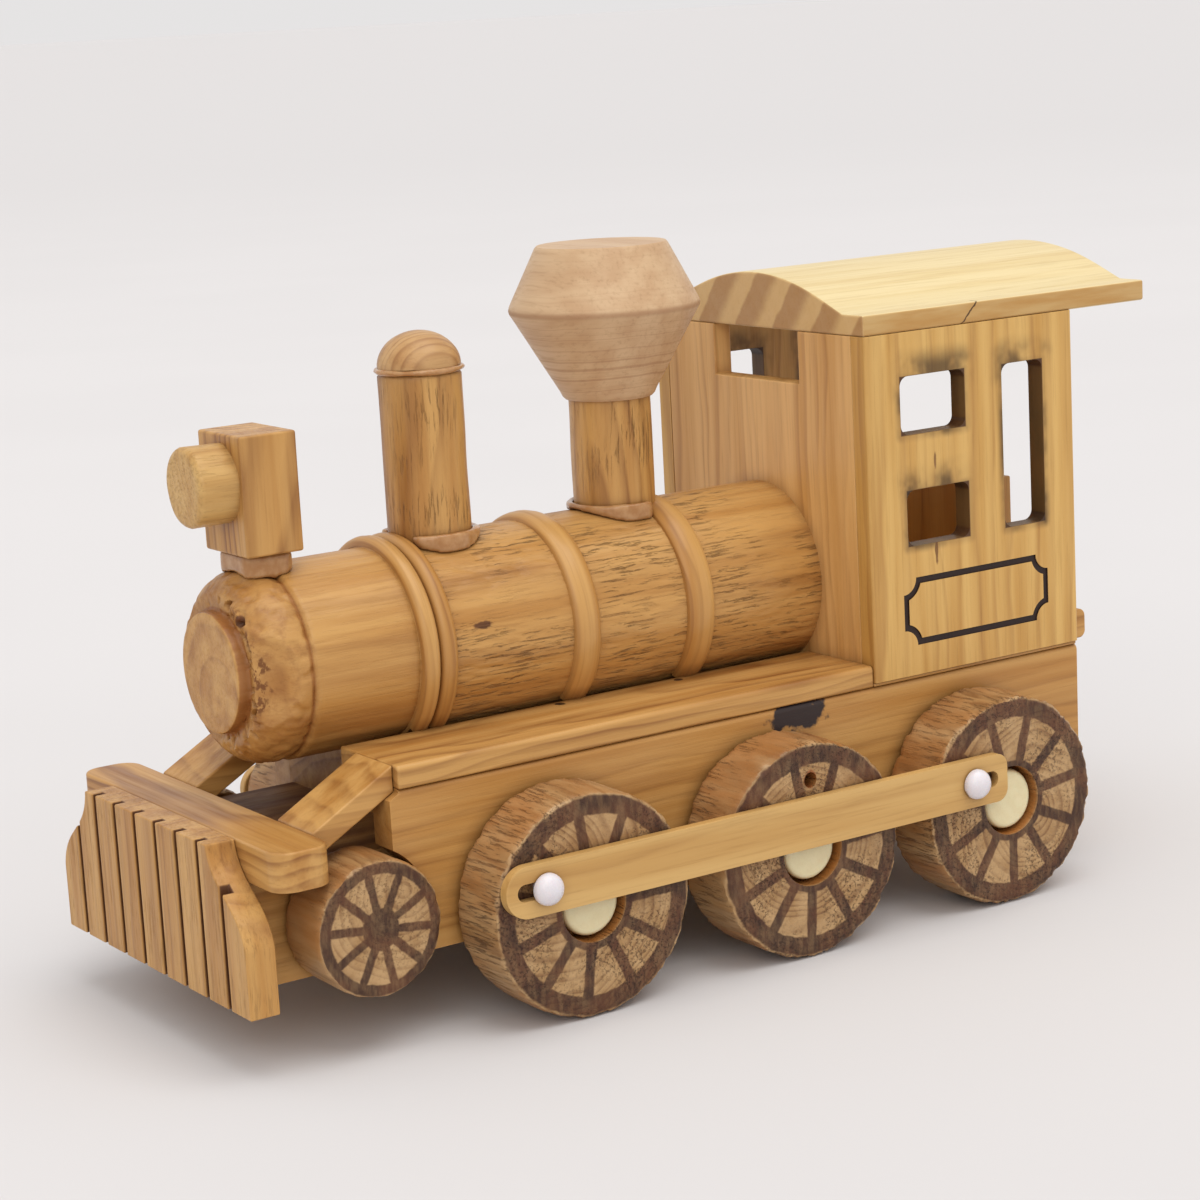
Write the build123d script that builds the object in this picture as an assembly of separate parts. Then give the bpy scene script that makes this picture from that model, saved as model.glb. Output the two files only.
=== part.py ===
from build123d import *
import math
import os

# Wooden toy locomotive, millimetres.
# +X is the front of the locomotive, +Y its left side, +Z up.
# The origin is on the ground, in the middle of the overall length and width.

# ---- running gear ----
DRIVER_D = 42.0              # driving wheel
WHEEL_THICK = 13.6
AXLE_FRONT_X = 43.4
AXLE_PITCH = 49.8            # spacing of the three driving axles
AXLE_Z = DRIVER_D / 2
WHEEL_GAP = 0.8              # between a wheel and the side frame
PEG_D = 6.0                  # shank of the axle peg
PEG_FIT = 0.05               # radial running clearance on a peg
PEG_HEAD_D = 12.0
PEG_HEAD_THICK = 4.3
PEG_RECESS = 1.0             # peg head below the wheel face
PEG_ENGAGE = 19.0            # shank inside the frame and the core
HUB_D = 13.7                 # counterbore around the peg head
HUB_DEPTH = 6.5
SPARE_HOLE_D = 3.0           # unused crank hole of the middle wheels
SPARE_HOLE_DEPTH = 8.0

PONY_D = 25.0                # small leading wheel, clear of the ground
PONY_THICK = 13.0
PONY_X = 82.7
PONY_Z = 23.2
PONY_AXLE_D = 5.0
PONY_AXLE_FIT = 0.06
PONY_BORE_DEPTH = 8.0
PONY_ARCH_R = 13.4           # clearance cut in the side frame behind the wheel

# ---- side rods ----
CRANK_R = 13.0
CRANK_ANGLE = 28.0           # crank pins above the forward direction
PIN_D = 2.6
PIN_DEPTH = 9.0              # pin inside the wheel
PIN_HEAD_D = 5.9
PIN_HEAD_H = 2.7
ROD_LENGTH = 116.4
ROD_WIDTH = 9.6
ROD_THICK = 2.0
ROD_GAP = 0.4                # rod to wheel face
PIN_HEAD_GAP = 0.3           # rod to pin head
SLOT_WIDTH = 3.2
SLOT_OUT = 6.0               # reach of a slot beyond the pin, towards the rod end
SLOT_IN = 2.6                # reach of a slot towards the middle of the rod

# ---- chassis ----
REAR_X = -87.5
CORE_HALF = 27.9
CORE_Z0 = 13.0
CORE_FRONT_X = 63.3
FRAME_HALF = 34.3
FRAME_Z0 = 15.0
FRAME_TOP = 45.5
LEFT_FRAME_FRONT_X = 75.9
RIGHT_FRAME_FRONT_X = 63.3
NOSE_HALF = 27.0
NOSE_TOP = 33.4
NOSE_FRONT_X = 102.05
BOARD_THICK = 4.3
BOARD_FRONT_X = 73.9
BOARD_INNER = 13.3
BEAM_REAR_X = 90.8
BEAM_HALF = 40.6
BEAM_TOP = 40.5
BEAM_CORNER_R = 4.0
BRACE_FOOT_Z = 40.5
BRACE_THICK = 4.3
BRACE_LEFT_Y = (19.3, 32.6)
BRACE_RIGHT_Y = (-27.2, -12.6)

# ---- cowcatcher ----
COW_THICK = 5.8
COW_Z0 = 11.5
COW_TOP_HALF = 25.2
COW_HALF = 37.7
COW_SHOULDER_Z = 23.6        # full width below this height
COW_SLATS = 9
COW_SLAT_PITCH = 8.5
COW_GROOVE_W = 1.3
COW_GROOVE_DEPTH = 2.0

# ---- boiler ----
BOILER_Z = 64.4
BOILER_R = 18.9
SMOKEBOX_R = 18.3
SMOKEBOX_REAR_X = 58.6
SMOKEBOX_FRONT_X = 79.7
RIM_GROOVE = 0.6             # fine groove behind the rounded rim at the front
RIM_CREST_X = 86.4
RIM_CREST_R = 17.5
FACE_X = 90.0                # front face around the door
FACE_R = 14.4
DOOR_X = 92.2                # flat round door, proud of the face
DOOR_R = 11.3
FACET_POINT = (86.2, 15.6)   # flat pared off the rim on the left side
FACET_TURN = 55.0
BAND_THICK = 1.5
BANDS = (                    # name, centre x, width
    ("boiler_band_1", 56.7, 3.7),
    ("boiler_band_2", 52.9, 3.7),
    ("boiler_band_3", 22.3, 6.1),
    ("boiler_band_4", -4.2, 6.6),
)
LAMP_X = (75.4, 86.9)
LAMP_HALF = 8.3
LAMP_Z = (85.7, 107.8)
LENS_R = 7.5
LENS_LENGTH = 7.7
LENS_Z = 98.7
DOME_X = 44.3
DOME_R = 8.0
DOME_POST_TOP = 114.2
DOME_TOP = 122.0
STACK_X = 2.0
STACK_R = 8.1
STACK_POST_TOP = 104.7
STACK_TOP = 134.5
STACK_WAIST_R = 8.9
STACK_RIM_R = 18.7
STACK_MOUTH_R = 12.8
POST_SEAT_Z = 76.0           # posts are let into the boiler down to this height

# ---- cab ----
CAB_FRONT_X = -34.0
CAB_HALF = 34.9
PANEL_THICK = 4.2
CAB_PANEL_Z0 = 46.3
CAB_TOP = 114.45
FLOOR_TOP = 51.6
FLOOR_REAR_X = -93.5
BACK_BOARD_HALF = 15.5
BACK_BOARD_TOP = 78.7
ROOF_REAR_X = -107.85
ROOF_HALF = 34.7
ROOF_LIP_TOP = 118.6
ROOF_CROWN = 125.6
WINDOW_R = 2.0
WINDOWS = (                  # front x, rear x, bottom z, top z
    (-42.5, -58.9, 94.3, 105.8),
    (-43.4, -59.3, 72.2, 83.3),
    (-68.6, -79.3, 72.5, 105.5),
)
NOTCH_HALF = 13.9
NOTCH_Z = 104.0
PLATE_X = (-79.6, -41.8)     # outline burnt into the side panel
PLATE_Z = (52.3, 65.9)
PLATE_CORNER_R = 3.2
PLATE_LINE = 1.3
PLATE_DEPTH = 0.3

# ---- glue beads ----
BEAD_WIDTH = 1.5
BEAD_HEIGHT = 1.2

# ---- derived ----
BOARD_TOP = FRAME_TOP + BOARD_THICK
WHEEL_IN = FRAME_HALF + WHEEL_GAP
WHEEL_OUT = WHEEL_IN + WHEEL_THICK
HEAD_OUT = WHEEL_OUT - PEG_RECESS
HEAD_IN = HEAD_OUT - PEG_HEAD_THICK
ROD_IN = WHEEL_OUT + ROD_GAP
ROD_OUT = ROD_IN + ROD_THICK
PONY_IN = NOSE_HALF + 0.5
PONY_OUT = PONY_IN + PONY_THICK
AXLES = tuple(AXLE_FRONT_X - i * AXLE_PITCH for i in range(3))
PIN_DX = CRANK_R * math.cos(math.radians(CRANK_ANGLE))
PIN_DZ = CRANK_R * math.sin(math.radians(CRANK_ANGLE))


def box(x, y, z):
    """Block between the given x, y and z limits."""
    size = (abs(x[1] - x[0]), abs(y[1] - y[0]), abs(z[1] - z[0]))
    centre = ((x[0] + x[1]) / 2, (y[0] + y[1]) / 2, (z[0] + z[1]) / 2)
    return Pos(*centre) * Box(*size)


def rod_y(x, z, radius, y0, y1):
    """Cylinder along Y between y0 and y1."""
    return Pos(x, (y0 + y1) / 2, z) * Rot(90, 0, 0) * Cylinder(radius, abs(y1 - y0))


def rod_x(z, radius, x0, x1):
    """Cylinder along X on the centre plane."""
    return Pos((x0 + x1) / 2, 0, z) * Rot(0, 90, 0) * Cylinder(radius, abs(x1 - x0))


def post(x, radius, z0, z1):
    """Upright cylinder on the centre plane."""
    return Pos(x, 0, (z0 + z1) / 2) * Cylinder(radius, z1 - z0)


def turned_y(x, z, profile):
    """Solid turned about a Y axis; the profile is (radius, y) pairs."""
    outline = make_face(Polyline(*[(r, y) for r, y in profile], close=True))
    return Pos(x, 0, z) * revolve(outline, axis=Axis.Y)


def turned_z(x, profile):
    """Solid turned about an upright axis; the profile is (radius, z) pairs."""
    outline = make_face(Polyline(*[(r, 0, z) for r, z in profile], close=True))
    return Pos(x, 0, 0) * revolve(outline, axis=Axis.Z)


def mirrored(part):
    return mirror(part, about=Plane.XZ)


# ---- wheels ----

def driver_wheel(x, crank_hole_d, hole_dx, hole_dz, hole_depth):
    wheel = turned_y(x, AXLE_Z, (
        (0, WHEEL_IN), (DRIVER_D / 2 - 0.5, WHEEL_IN), (DRIVER_D / 2, WHEEL_IN + 0.5),
        (DRIVER_D / 2, WHEEL_OUT - 0.5), (DRIVER_D / 2 - 0.5, WHEEL_OUT), (0, WHEEL_OUT),
    ))
    wheel -= rod_y(x, AXLE_Z, PEG_D / 2 + PEG_FIT, WHEEL_IN - 1, WHEEL_OUT + 1)
    wheel -= rod_y(x, AXLE_Z, HUB_D / 2, WHEEL_OUT - HUB_DEPTH, WHEEL_OUT + 1)
    hole_x = x + hole_dx
    hole_z = AXLE_Z + hole_dz
    wheel -= rod_y(hole_x, hole_z, crank_hole_d / 2, WHEEL_OUT - hole_depth, WHEEL_OUT + 1)
    return wheel


def linked_wheel(x):
    return driver_wheel(x, PIN_D, PIN_DX, PIN_DZ, PIN_DEPTH)


def middle_wheel(x):
    return driver_wheel(x, SPARE_HOLE_D, 0.0, CRANK_R + 0.7, SPARE_HOLE_DEPTH)


def axle_peg(x):
    radius = PEG_HEAD_D / 2
    head = turned_y(x, AXLE_Z, (
        (0, HEAD_IN), (radius, HEAD_IN), (radius, HEAD_OUT - 0.9),
        (radius - 0.3, HEAD_OUT - 0.35), (radius - 1.1, HEAD_OUT), (0, HEAD_OUT),
    ))
    return head + rod_y(x, AXLE_Z, PEG_D / 2, FRAME_HALF - PEG_ENGAGE, HEAD_IN + 0.1)


def crank_pin(x):
    pin_x = x + PIN_DX
    pin_z = AXLE_Z + PIN_DZ
    base = ROD_OUT + PIN_HEAD_GAP
    radius = PIN_HEAD_D / 2
    head = turned_y(pin_x, pin_z, (
        (0, base), (radius, base), (radius, base + 0.6), (radius * 0.94, base + 1.2),
        (radius * 0.76, base + 1.9), (radius * 0.44, base + 2.45), (0, base + PIN_HEAD_H),
    ))
    return head + rod_y(pin_x, pin_z, PIN_D / 2, WHEEL_OUT - PIN_DEPTH, base + 0.1)


def side_rod():
    front_x = AXLES[0] + PIN_DX
    rear_x = AXLES[2] + PIN_DX
    mid_x = (front_x + rear_x) / 2
    z = AXLE_Z + PIN_DZ
    x0 = mid_x - ROD_LENGTH / 2
    x1 = mid_x + ROD_LENGTH / 2
    body = box((x0, x1 - ROD_WIDTH / 2), (ROD_IN, ROD_OUT), (z - ROD_WIDTH / 2, z + ROD_WIDTH / 2))
    corners = body.edges().filter_by(Axis.Y).group_by(Axis.X)[0]
    body = fillet(corners, 2.6)
    body += rod_y(x1 - ROD_WIDTH / 2, z, ROD_WIDTH / 2, ROD_IN, ROD_OUT)
    body -= rod_slot(front_x - SLOT_IN, front_x + SLOT_OUT, z)
    body -= rod_slot(rear_x - SLOT_OUT, rear_x + SLOT_IN, z)
    return body


def rod_slot(x0, x1, z):
    half = SLOT_WIDTH / 2
    slot = box((x0 + half, x1 - half), (ROD_IN - 1, ROD_OUT + 1), (z - half, z + half))
    for x in (x0 + half, x1 - half):
        slot += rod_y(x, z, half, ROD_IN - 1, ROD_OUT + 1)
    return slot


def pony_wheel():
    radius = PONY_D / 2
    wheel = turned_y(PONY_X, PONY_Z, (
        (0, PONY_IN), (radius - 0.4, PONY_IN), (radius, PONY_IN + 0.4),
        (radius, PONY_OUT - 0.4), (radius - 0.4, PONY_OUT), (0, PONY_OUT),
    ))
    return wheel - rod_y(PONY_X, PONY_Z, PONY_AXLE_D / 2, PONY_IN - 1, PONY_IN + PONY_BORE_DEPTH)


def pony_axle():
    reach = PONY_IN + PONY_BORE_DEPTH
    return rod_y(PONY_X, PONY_Z, PONY_AXLE_D / 2, -reach, reach)


# ---- chassis ----

def peg_holes(part):
    for x in AXLES:
        for side in (1, -1):
            part -= rod_y(x, AXLE_Z, PEG_D / 2, side * (FRAME_HALF + 1), side * (FRAME_HALF - PEG_ENGAGE))
    return part


def chassis_core():
    core = box((REAR_X, CORE_FRONT_X), (-CORE_HALF, CORE_HALF), (CORE_Z0, FRAME_TOP))
    core += box((CORE_FRONT_X, NOSE_FRONT_X), (-NOSE_HALF, NOSE_HALF), (CORE_Z0, NOSE_TOP))
    core -= rod_y(PONY_X, PONY_Z, PONY_AXLE_D / 2 + PONY_AXLE_FIT, -NOSE_HALF - 1, NOSE_HALF + 1)
    return peg_holes(core)


def side_frame(front_x, side):
    """Board along the core, cut back in an arc where it would meet the pony wheel."""
    y = (side * CORE_HALF, side * FRAME_HALF)
    frame = box((REAR_X, front_x), y, (FRAME_Z0, FRAME_TOP))
    if front_x > PONY_X - PONY_ARCH_R:
        frame -= rod_y(PONY_X, PONY_Z, PONY_ARCH_R, side * (CORE_HALF - 1), side * (FRAME_HALF + 1))
        below = (PONY_X - PONY_ARCH_R, front_x + 1)
        frame -= box(below, (y[0] - side, y[1] + side), (FRAME_Z0 - 1, PONY_Z))
        frame -= brace_profile(y[0] - side, y[1] + side)
    top = frame.edges().filter_by(Axis.X).group_by(Axis.Z)[-1]
    outer = top.sort_by(Axis.Y)[-1 if side > 0 else 0]
    return peg_holes(fillet(outer, 1.2))


def brace_profile(y0, y1):
    """Sloping plank from the front of a running board to the buffer beam."""
    run = BEAM_REAR_X - BOARD_FRONT_X
    drop = BOARD_TOP - BRACE_FOOT_Z
    depth = BRACE_THICK * math.hypot(run, drop) / run
    outline = make_face(Polyline(
        (BOARD_FRONT_X, 0, BOARD_TOP), (BEAM_REAR_X, 0, BRACE_FOOT_Z),
        (BEAM_REAR_X, 0, BRACE_FOOT_Z - depth), (BOARD_FRONT_X, 0, BOARD_TOP - depth), close=True))
    low, high = sorted((y0, y1))
    return Pos(0, low, 0) * extrude(outline, amount=high - low, dir=(0, 1, 0))


def running_board():
    board = box((CAB_FRONT_X, BOARD_FRONT_X), (BOARD_INNER, FRAME_HALF), (FRAME_TOP, BOARD_TOP))
    top = board.edges().filter_by(Axis.X).group_by(Axis.Z)[-1]
    board = fillet(top.sort_by(Axis.Y)[-1], 0.9)
    return board - boiler_envelope()


def buffer_beam():
    beam = box((BEAM_REAR_X, NOSE_FRONT_X), (-BEAM_HALF, BEAM_HALF), (NOSE_TOP, BEAM_TOP))
    beam = fillet(beam.edges().filter_by(Axis.Z), BEAM_CORNER_R)
    return fillet(beam.edges().group_by(Axis.Z)[-1], 0.5)


def cowcatcher():
    """Slatted plate: saw grooves in a board with flared shoulders."""
    front_x = NOSE_FRONT_X + COW_THICK
    top = (COW_TOP_HALF, BEAM_TOP)
    shoulder = (COW_HALF, COW_SHOULDER_Z)
    bend_a = (COW_TOP_HALF + 3.4, BEAM_TOP - 6.2)
    bend_b = (COW_HALF - 4.0, COW_SHOULDER_Z + 6.6)
    flare = Spline((0, top[0], top[1]), (0, bend_a[0], bend_a[1]),
                   (0, bend_b[0], bend_b[1]), (0, shoulder[0], shoulder[1]))
    side = Line((0, *shoulder), (0, COW_HALF, COW_Z0))
    half = Wire([flare.edge(), side.edge()])
    other = Wire([edge for edge in mirror(half, about=Plane.XZ).edges()])
    bottom = Line((0, COW_HALF, COW_Z0), (0, -COW_HALF, COW_Z0))
    brim = Line((0, -top[0], top[1]), (0, *top))
    face = make_face(half.edges() + other.edges() + [bottom.edge(), brim.edge()])
    plate = Pos(NOSE_FRONT_X, 0, 0) * extrude(face, amount=COW_THICK, dir=(1, 0, 0))
    first = -(COW_SLATS - 2) / 2
    for i in range(COW_SLATS - 1):
        y = (first + i) * COW_SLAT_PITCH
        half_w = COW_GROOVE_W / 2
        plate -= box((front_x - COW_GROOVE_DEPTH, front_x + 1), (y - half_w, y + half_w), (0, BEAM_TOP + 1))
    return plate


# ---- boiler ----

def boiler_envelope():
    return rod_x(BOILER_Z, BOILER_R, CAB_FRONT_X, SMOKEBOX_REAR_X)


def boiler():
    """Log with a rounded front rim, one flat pared off the rim, and a round door."""
    groove = (SMOKEBOX_FRONT_X + RIM_GROOVE, SMOKEBOX_R - RIM_GROOVE)
    rim = ThreePointArc(groove, (RIM_CREST_X, RIM_CREST_R), (FACE_X, FACE_R))
    rest = Polyline(
        (FACE_X, FACE_R), (FACE_X, DOOR_R), (DOOR_X - 0.5, DOOR_R), (DOOR_X, DOOR_R - 0.5), (DOOR_X, 0),
        (CAB_FRONT_X, 0), (CAB_FRONT_X, BOILER_R), (SMOKEBOX_REAR_X, BOILER_R),
        (SMOKEBOX_REAR_X, SMOKEBOX_R), (SMOKEBOX_FRONT_X, SMOKEBOX_R), groove)
    log = Pos(0, 0, BOILER_Z) * revolve(make_face(rim.edges() + rest.edges()), axis=Axis.X)
    log -= Pos(*FACET_POINT, BOILER_Z) * Rot(0, 0, FACET_TURN) * Pos(20, 0, 0) * Box(40, 60, 40)
    log -= post(DOME_X, DOME_R, POST_SEAT_Z, BOILER_Z + 30)
    log -= post(STACK_X, STACK_R, POST_SEAT_Z, BOILER_Z + 30)
    return log


def boiler_band(x, width):
    """Bent half-round strip over the boiler, ending at the running boards."""
    half = width / 2
    outline = make_face(Polyline(
        (x - half, 0, BOILER_R), (x - half, 0, BOILER_R + 0.5 * BAND_THICK),
        (x - 0.55 * half, 0, BOILER_R + BAND_THICK), (x + 0.55 * half, 0, BOILER_R + BAND_THICK),
        (x + half, 0, BOILER_R + 0.5 * BAND_THICK), (x + half, 0, BOILER_R), close=True))
    ring = Pos(0, 0, BOILER_Z) * revolve(outline, axis=Axis.X)
    ring -= box((x - 10, x + 10), (-40, 40), (30, BOARD_TOP))
    for post_x, radius in ((DOME_X, DOME_R), (STACK_X, STACK_R)):
        if abs(post_x - x) < radius + half:
            ring -= post(post_x, radius, POST_SEAT_Z, BOILER_Z + 30)
    return ring


def lamp_block():
    return box(LAMP_X, (-LAMP_HALF, LAMP_HALF), LAMP_Z)


def lamp_lens():
    lens = rod_x(LENS_Z, LENS_R, LAMP_X[1], LAMP_X[1] + LENS_LENGTH)
    return chamfer(lens.edges().group_by(Axis.X)[-1], 0.5)


def lamp_glue():
    pad = Pos((LAMP_X[0] + LAMP_X[1]) / 2, 0, 80) * extrude(RectangleRounded(10.0, 13.5, 3.0), LAMP_Z[0] - 80)
    return pad - boiler()


def dome_post():
    return post(DOME_X, DOME_R, POST_SEAT_Z, DOME_POST_TOP)


def dome_cap():
    height = DOME_TOP - DOME_POST_TOP - BEAD_HEIGHT
    base = DOME_POST_TOP + BEAD_HEIGHT
    ball = (DOME_R ** 2 + height ** 2) / (2 * height)
    cap = Pos(DOME_X, 0, DOME_TOP - ball) * Sphere(ball)
    return cap - box((DOME_X - 12, DOME_X + 12), (-12, 12), (base - 30, base))


def dome_cap_glue():
    return turned_z(DOME_X, (
        (0, DOME_POST_TOP), (DOME_R + 0.3, DOME_POST_TOP),
        (DOME_R + 0.7, DOME_POST_TOP + BEAD_HEIGHT / 2),
        (DOME_R + 0.3, DOME_POST_TOP + BEAD_HEIGHT), (0, DOME_POST_TOP + BEAD_HEIGHT),
    ))


def base_bead(x, radius, band):
    """Glue squeezed out where a post stands on the boiler, stopping at the band beside the post."""
    crown = BOILER_Z + BOILER_R
    collar = Pos(x, 0, crown - 4) * Cylinder(
        radius + BEAD_WIDTH, 4 + BEAD_HEIGHT, align=(Align.CENTER, Align.CENTER, Align.MIN))
    collar -= post(x, radius, POST_SEAT_Z, crown + 5)
    band_x, band_width = band[1:]
    away = math.copysign(1, band_x - x)
    near = band_x - away * band_width / 2
    collar -= box((near, near + away * 20), (-20, 20), (crown - 10, crown + 5))
    return collar - boiler_envelope()


def stack_post():
    return post(STACK_X, STACK_R, POST_SEAT_Z, STACK_POST_TOP)


def stack_cap():
    rim_z = 122.4
    return turned_z(STACK_X, (
        (0, STACK_POST_TOP), (STACK_WAIST_R, STACK_POST_TOP), (STACK_WAIST_R + 0.5, STACK_POST_TOP + 1.2),
        (STACK_RIM_R - 0.7, rim_z - 1.6), (STACK_RIM_R, rim_z), (STACK_RIM_R - 0.2, rim_z + 0.9),
        (STACK_MOUTH_R, STACK_TOP - 0.4), (STACK_MOUTH_R - 0.4, STACK_TOP), (0, STACK_TOP),
    ))


# ---- cab ----

def window(x0, x1, z0, z1, y0, y1):
    hole = box((x0, x1), (y0, y1), (z0, z1))
    return fillet(hole.edges().filter_by(Axis.Y), WINDOW_R)


def plate_outline(inset):
    """Name plate outline with scooped corners, as a flat face at the panel surface."""
    width = PLATE_X[1] - PLATE_X[0] - 2 * inset
    height = PLATE_Z[1] - PLATE_Z[0] - 2 * inset
    sketch = Rectangle(width, height)
    for sx in (-1, 1):
        for sy in (-1, 1):
            corner = (sx * (width / 2 + inset), sy * (height / 2 + inset))
            sketch -= Pos(*corner) * Circle(PLATE_CORNER_R + inset)
    return sketch


def plate_groove():
    ring = plate_outline(0) - plate_outline(PLATE_LINE)
    centre_x = (PLATE_X[0] + PLATE_X[1]) / 2
    centre_z = (PLATE_Z[0] + PLATE_Z[1]) / 2
    cutter = extrude(ring, amount=PLATE_DEPTH + 1)
    return Pos(centre_x, CAB_HALF + 1, centre_z) * Rot(90, 0, 0) * cutter


def cab_side():
    panel = box((REAR_X, CAB_FRONT_X), (CAB_HALF - PANEL_THICK, CAB_HALF), (CAB_PANEL_Z0, CAB_TOP))
    for x0, x1, z0, z1 in WINDOWS:
        panel -= window(x0, x1, z0, z1, CAB_HALF - PANEL_THICK - 1, CAB_HALF + 1)
    panel -= plate_groove()
    uprights = panel.edges().filter_by(Axis.Z).group_by(Axis.Y)[-1]
    corners = [e for e in uprights if e.length > CAB_TOP - CAB_PANEL_Z0 - 1]
    return fillet(corners, 0.6)


def cab_front():
    inner = CAB_HALF - PANEL_THICK
    panel = box((CAB_FRONT_X - PANEL_THICK, CAB_FRONT_X), (-inner, inner), (FRAME_TOP, CAB_TOP))
    return panel - box((-60, 0), (-NOTCH_HALF, NOTCH_HALF), (NOTCH_Z, CAB_TOP + 1))


def cab_floor():
    inner = CAB_HALF - PANEL_THICK
    front_x = CAB_FRONT_X - PANEL_THICK
    floor = box((FLOOR_REAR_X, front_x), (-inner, inner), (FRAME_TOP, FLOOR_TOP))
    floor = fillet(floor.edges().filter_by(Axis.Y).group_by(Axis.X)[0], 1.6)
    lip = box((REAR_X, CAB_FRONT_X), (-FRAME_HALF, FRAME_HALF), (FRAME_TOP, CAB_PANEL_Z0))
    lip -= box((front_x, CAB_FRONT_X + 1), (-inner, inner), (FRAME_TOP - 1, FLOOR_TOP))
    return floor + lip


def cab_back_board():
    return box((REAR_X, REAR_X + PANEL_THICK), (-BACK_BOARD_HALF, BACK_BOARD_HALF), (FLOOR_TOP, BACK_BOARD_TOP))


def cab_roof():
    """Solid roof block: flat lips at the eaves and an ogee up to the crown."""
    lip_in = 28.2
    crown = ROOF_CROWN
    right = Spline((0, -lip_in, ROOF_LIP_TOP), (0, -22.2, 121.0), (0, -15.9, 123.2),
                   (0, -6.3, 125.2), (0, 0, crown), (0, 6.3, 125.2), (0, 15.9, 123.2),
                   (0, 22.2, 121.0), (0, lip_in, ROOF_LIP_TOP))
    edge = Polyline((0, lip_in, ROOF_LIP_TOP), (0, ROOF_HALF, ROOF_LIP_TOP), (0, ROOF_HALF, CAB_TOP),
                    (0, -ROOF_HALF, CAB_TOP), (0, -ROOF_HALF, ROOF_LIP_TOP), (0, -lip_in, ROOF_LIP_TOP))
    face = make_face(right.edges() + edge.edges())
    return Pos(ROOF_REAR_X, 0, 0) * extrude(face, amount=CAB_FRONT_X - ROOF_REAR_X, dir=(1, 0, 0))


# ---- assembly ----

def build():
    nodes = {
        "chassis_core": chassis_core(),
        "side_frame_left": side_frame(LEFT_FRAME_FRONT_X, 1),
        "side_frame_right": side_frame(RIGHT_FRAME_FRONT_X, -1),
        "running_board_left": running_board(),
        "running_board_right": mirrored(running_board()),
        "buffer_beam": buffer_beam(),
        "brace_left": brace_profile(*BRACE_LEFT_Y),
        "brace_right": brace_profile(*BRACE_RIGHT_Y),
        "cowcatcher": cowcatcher(),
        "boiler": boiler(),
        "lamp_block": lamp_block(),
        "lamp_lens": lamp_lens(),
        "lamp_glue": lamp_glue(),
        "dome_post": dome_post(),
        "dome_cap": dome_cap(),
        "dome_cap_glue": dome_cap_glue(),
        "dome_base_glue": base_bead(DOME_X, DOME_R, BANDS[1]),
        "stack_post": stack_post(),
        "stack_cap": stack_cap(),
        "stack_base_glue": base_bead(STACK_X, STACK_R, BANDS[3]),
        "cab_front": cab_front(),
        "cab_side_left": cab_side(),
        "cab_side_right": mirrored(cab_side()),
        "cab_floor": cab_floor(),
        "cab_back_board": cab_back_board(),
        "cab_roof": cab_roof(),
        "pony_axle": pony_axle(),
        "pony_wheel_left": pony_wheel(),
        "pony_wheel_right": mirrored(pony_wheel()),
        "side_rod_left": side_rod(),
        "side_rod_right": mirrored(side_rod()),
    }
    for name, x, width in BANDS:
        nodes[name] = boiler_band(x, width)
    pegs = [axle_peg(x) for x in AXLES]
    nodes["axle_pegs"] = Compound(pegs + [mirrored(peg) for peg in pegs])
    places = (("front", AXLES[0]), ("rear", AXLES[2]))
    for place, x in places:
        nodes[f"driver_{place}_left"] = linked_wheel(x)
        nodes[f"driver_{place}_right"] = mirrored(linked_wheel(x))
        nodes[f"crank_pin_{place}_left"] = crank_pin(x)
        nodes[f"crank_pin_{place}_right"] = mirrored(crank_pin(x))
    nodes["driver_middle_left"] = middle_wheel(AXLES[1])
    nodes["driver_middle_right"] = mirrored(middle_wheel(AXLES[1]))
    return nodes


def main():
    os.makedirs("parts", exist_ok=True)
    for name, part in build().items():
        part.label = name
        export_step(part, f"parts/{name}.step")
        print(name, len(part.solids()), round(part.volume, 1))


main()
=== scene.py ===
import math

import bmesh
import bpy
from mathutils import Matrix, Vector, noise


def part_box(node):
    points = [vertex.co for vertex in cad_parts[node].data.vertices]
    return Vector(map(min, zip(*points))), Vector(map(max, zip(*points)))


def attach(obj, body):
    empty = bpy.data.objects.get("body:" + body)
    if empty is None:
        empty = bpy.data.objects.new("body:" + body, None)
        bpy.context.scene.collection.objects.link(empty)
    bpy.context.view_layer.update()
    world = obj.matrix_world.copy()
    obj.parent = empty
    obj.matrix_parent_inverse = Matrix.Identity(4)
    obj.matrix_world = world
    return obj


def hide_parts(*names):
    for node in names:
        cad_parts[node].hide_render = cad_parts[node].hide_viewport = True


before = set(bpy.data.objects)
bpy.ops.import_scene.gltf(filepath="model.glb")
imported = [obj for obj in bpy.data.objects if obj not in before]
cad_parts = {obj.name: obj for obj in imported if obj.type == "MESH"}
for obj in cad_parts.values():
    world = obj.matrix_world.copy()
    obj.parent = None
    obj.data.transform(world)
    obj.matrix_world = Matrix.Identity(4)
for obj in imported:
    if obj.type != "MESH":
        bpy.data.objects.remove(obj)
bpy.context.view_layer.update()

MM = 0.001


# ---- details of the pieces that their boxes don't give, in mm ----

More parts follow.
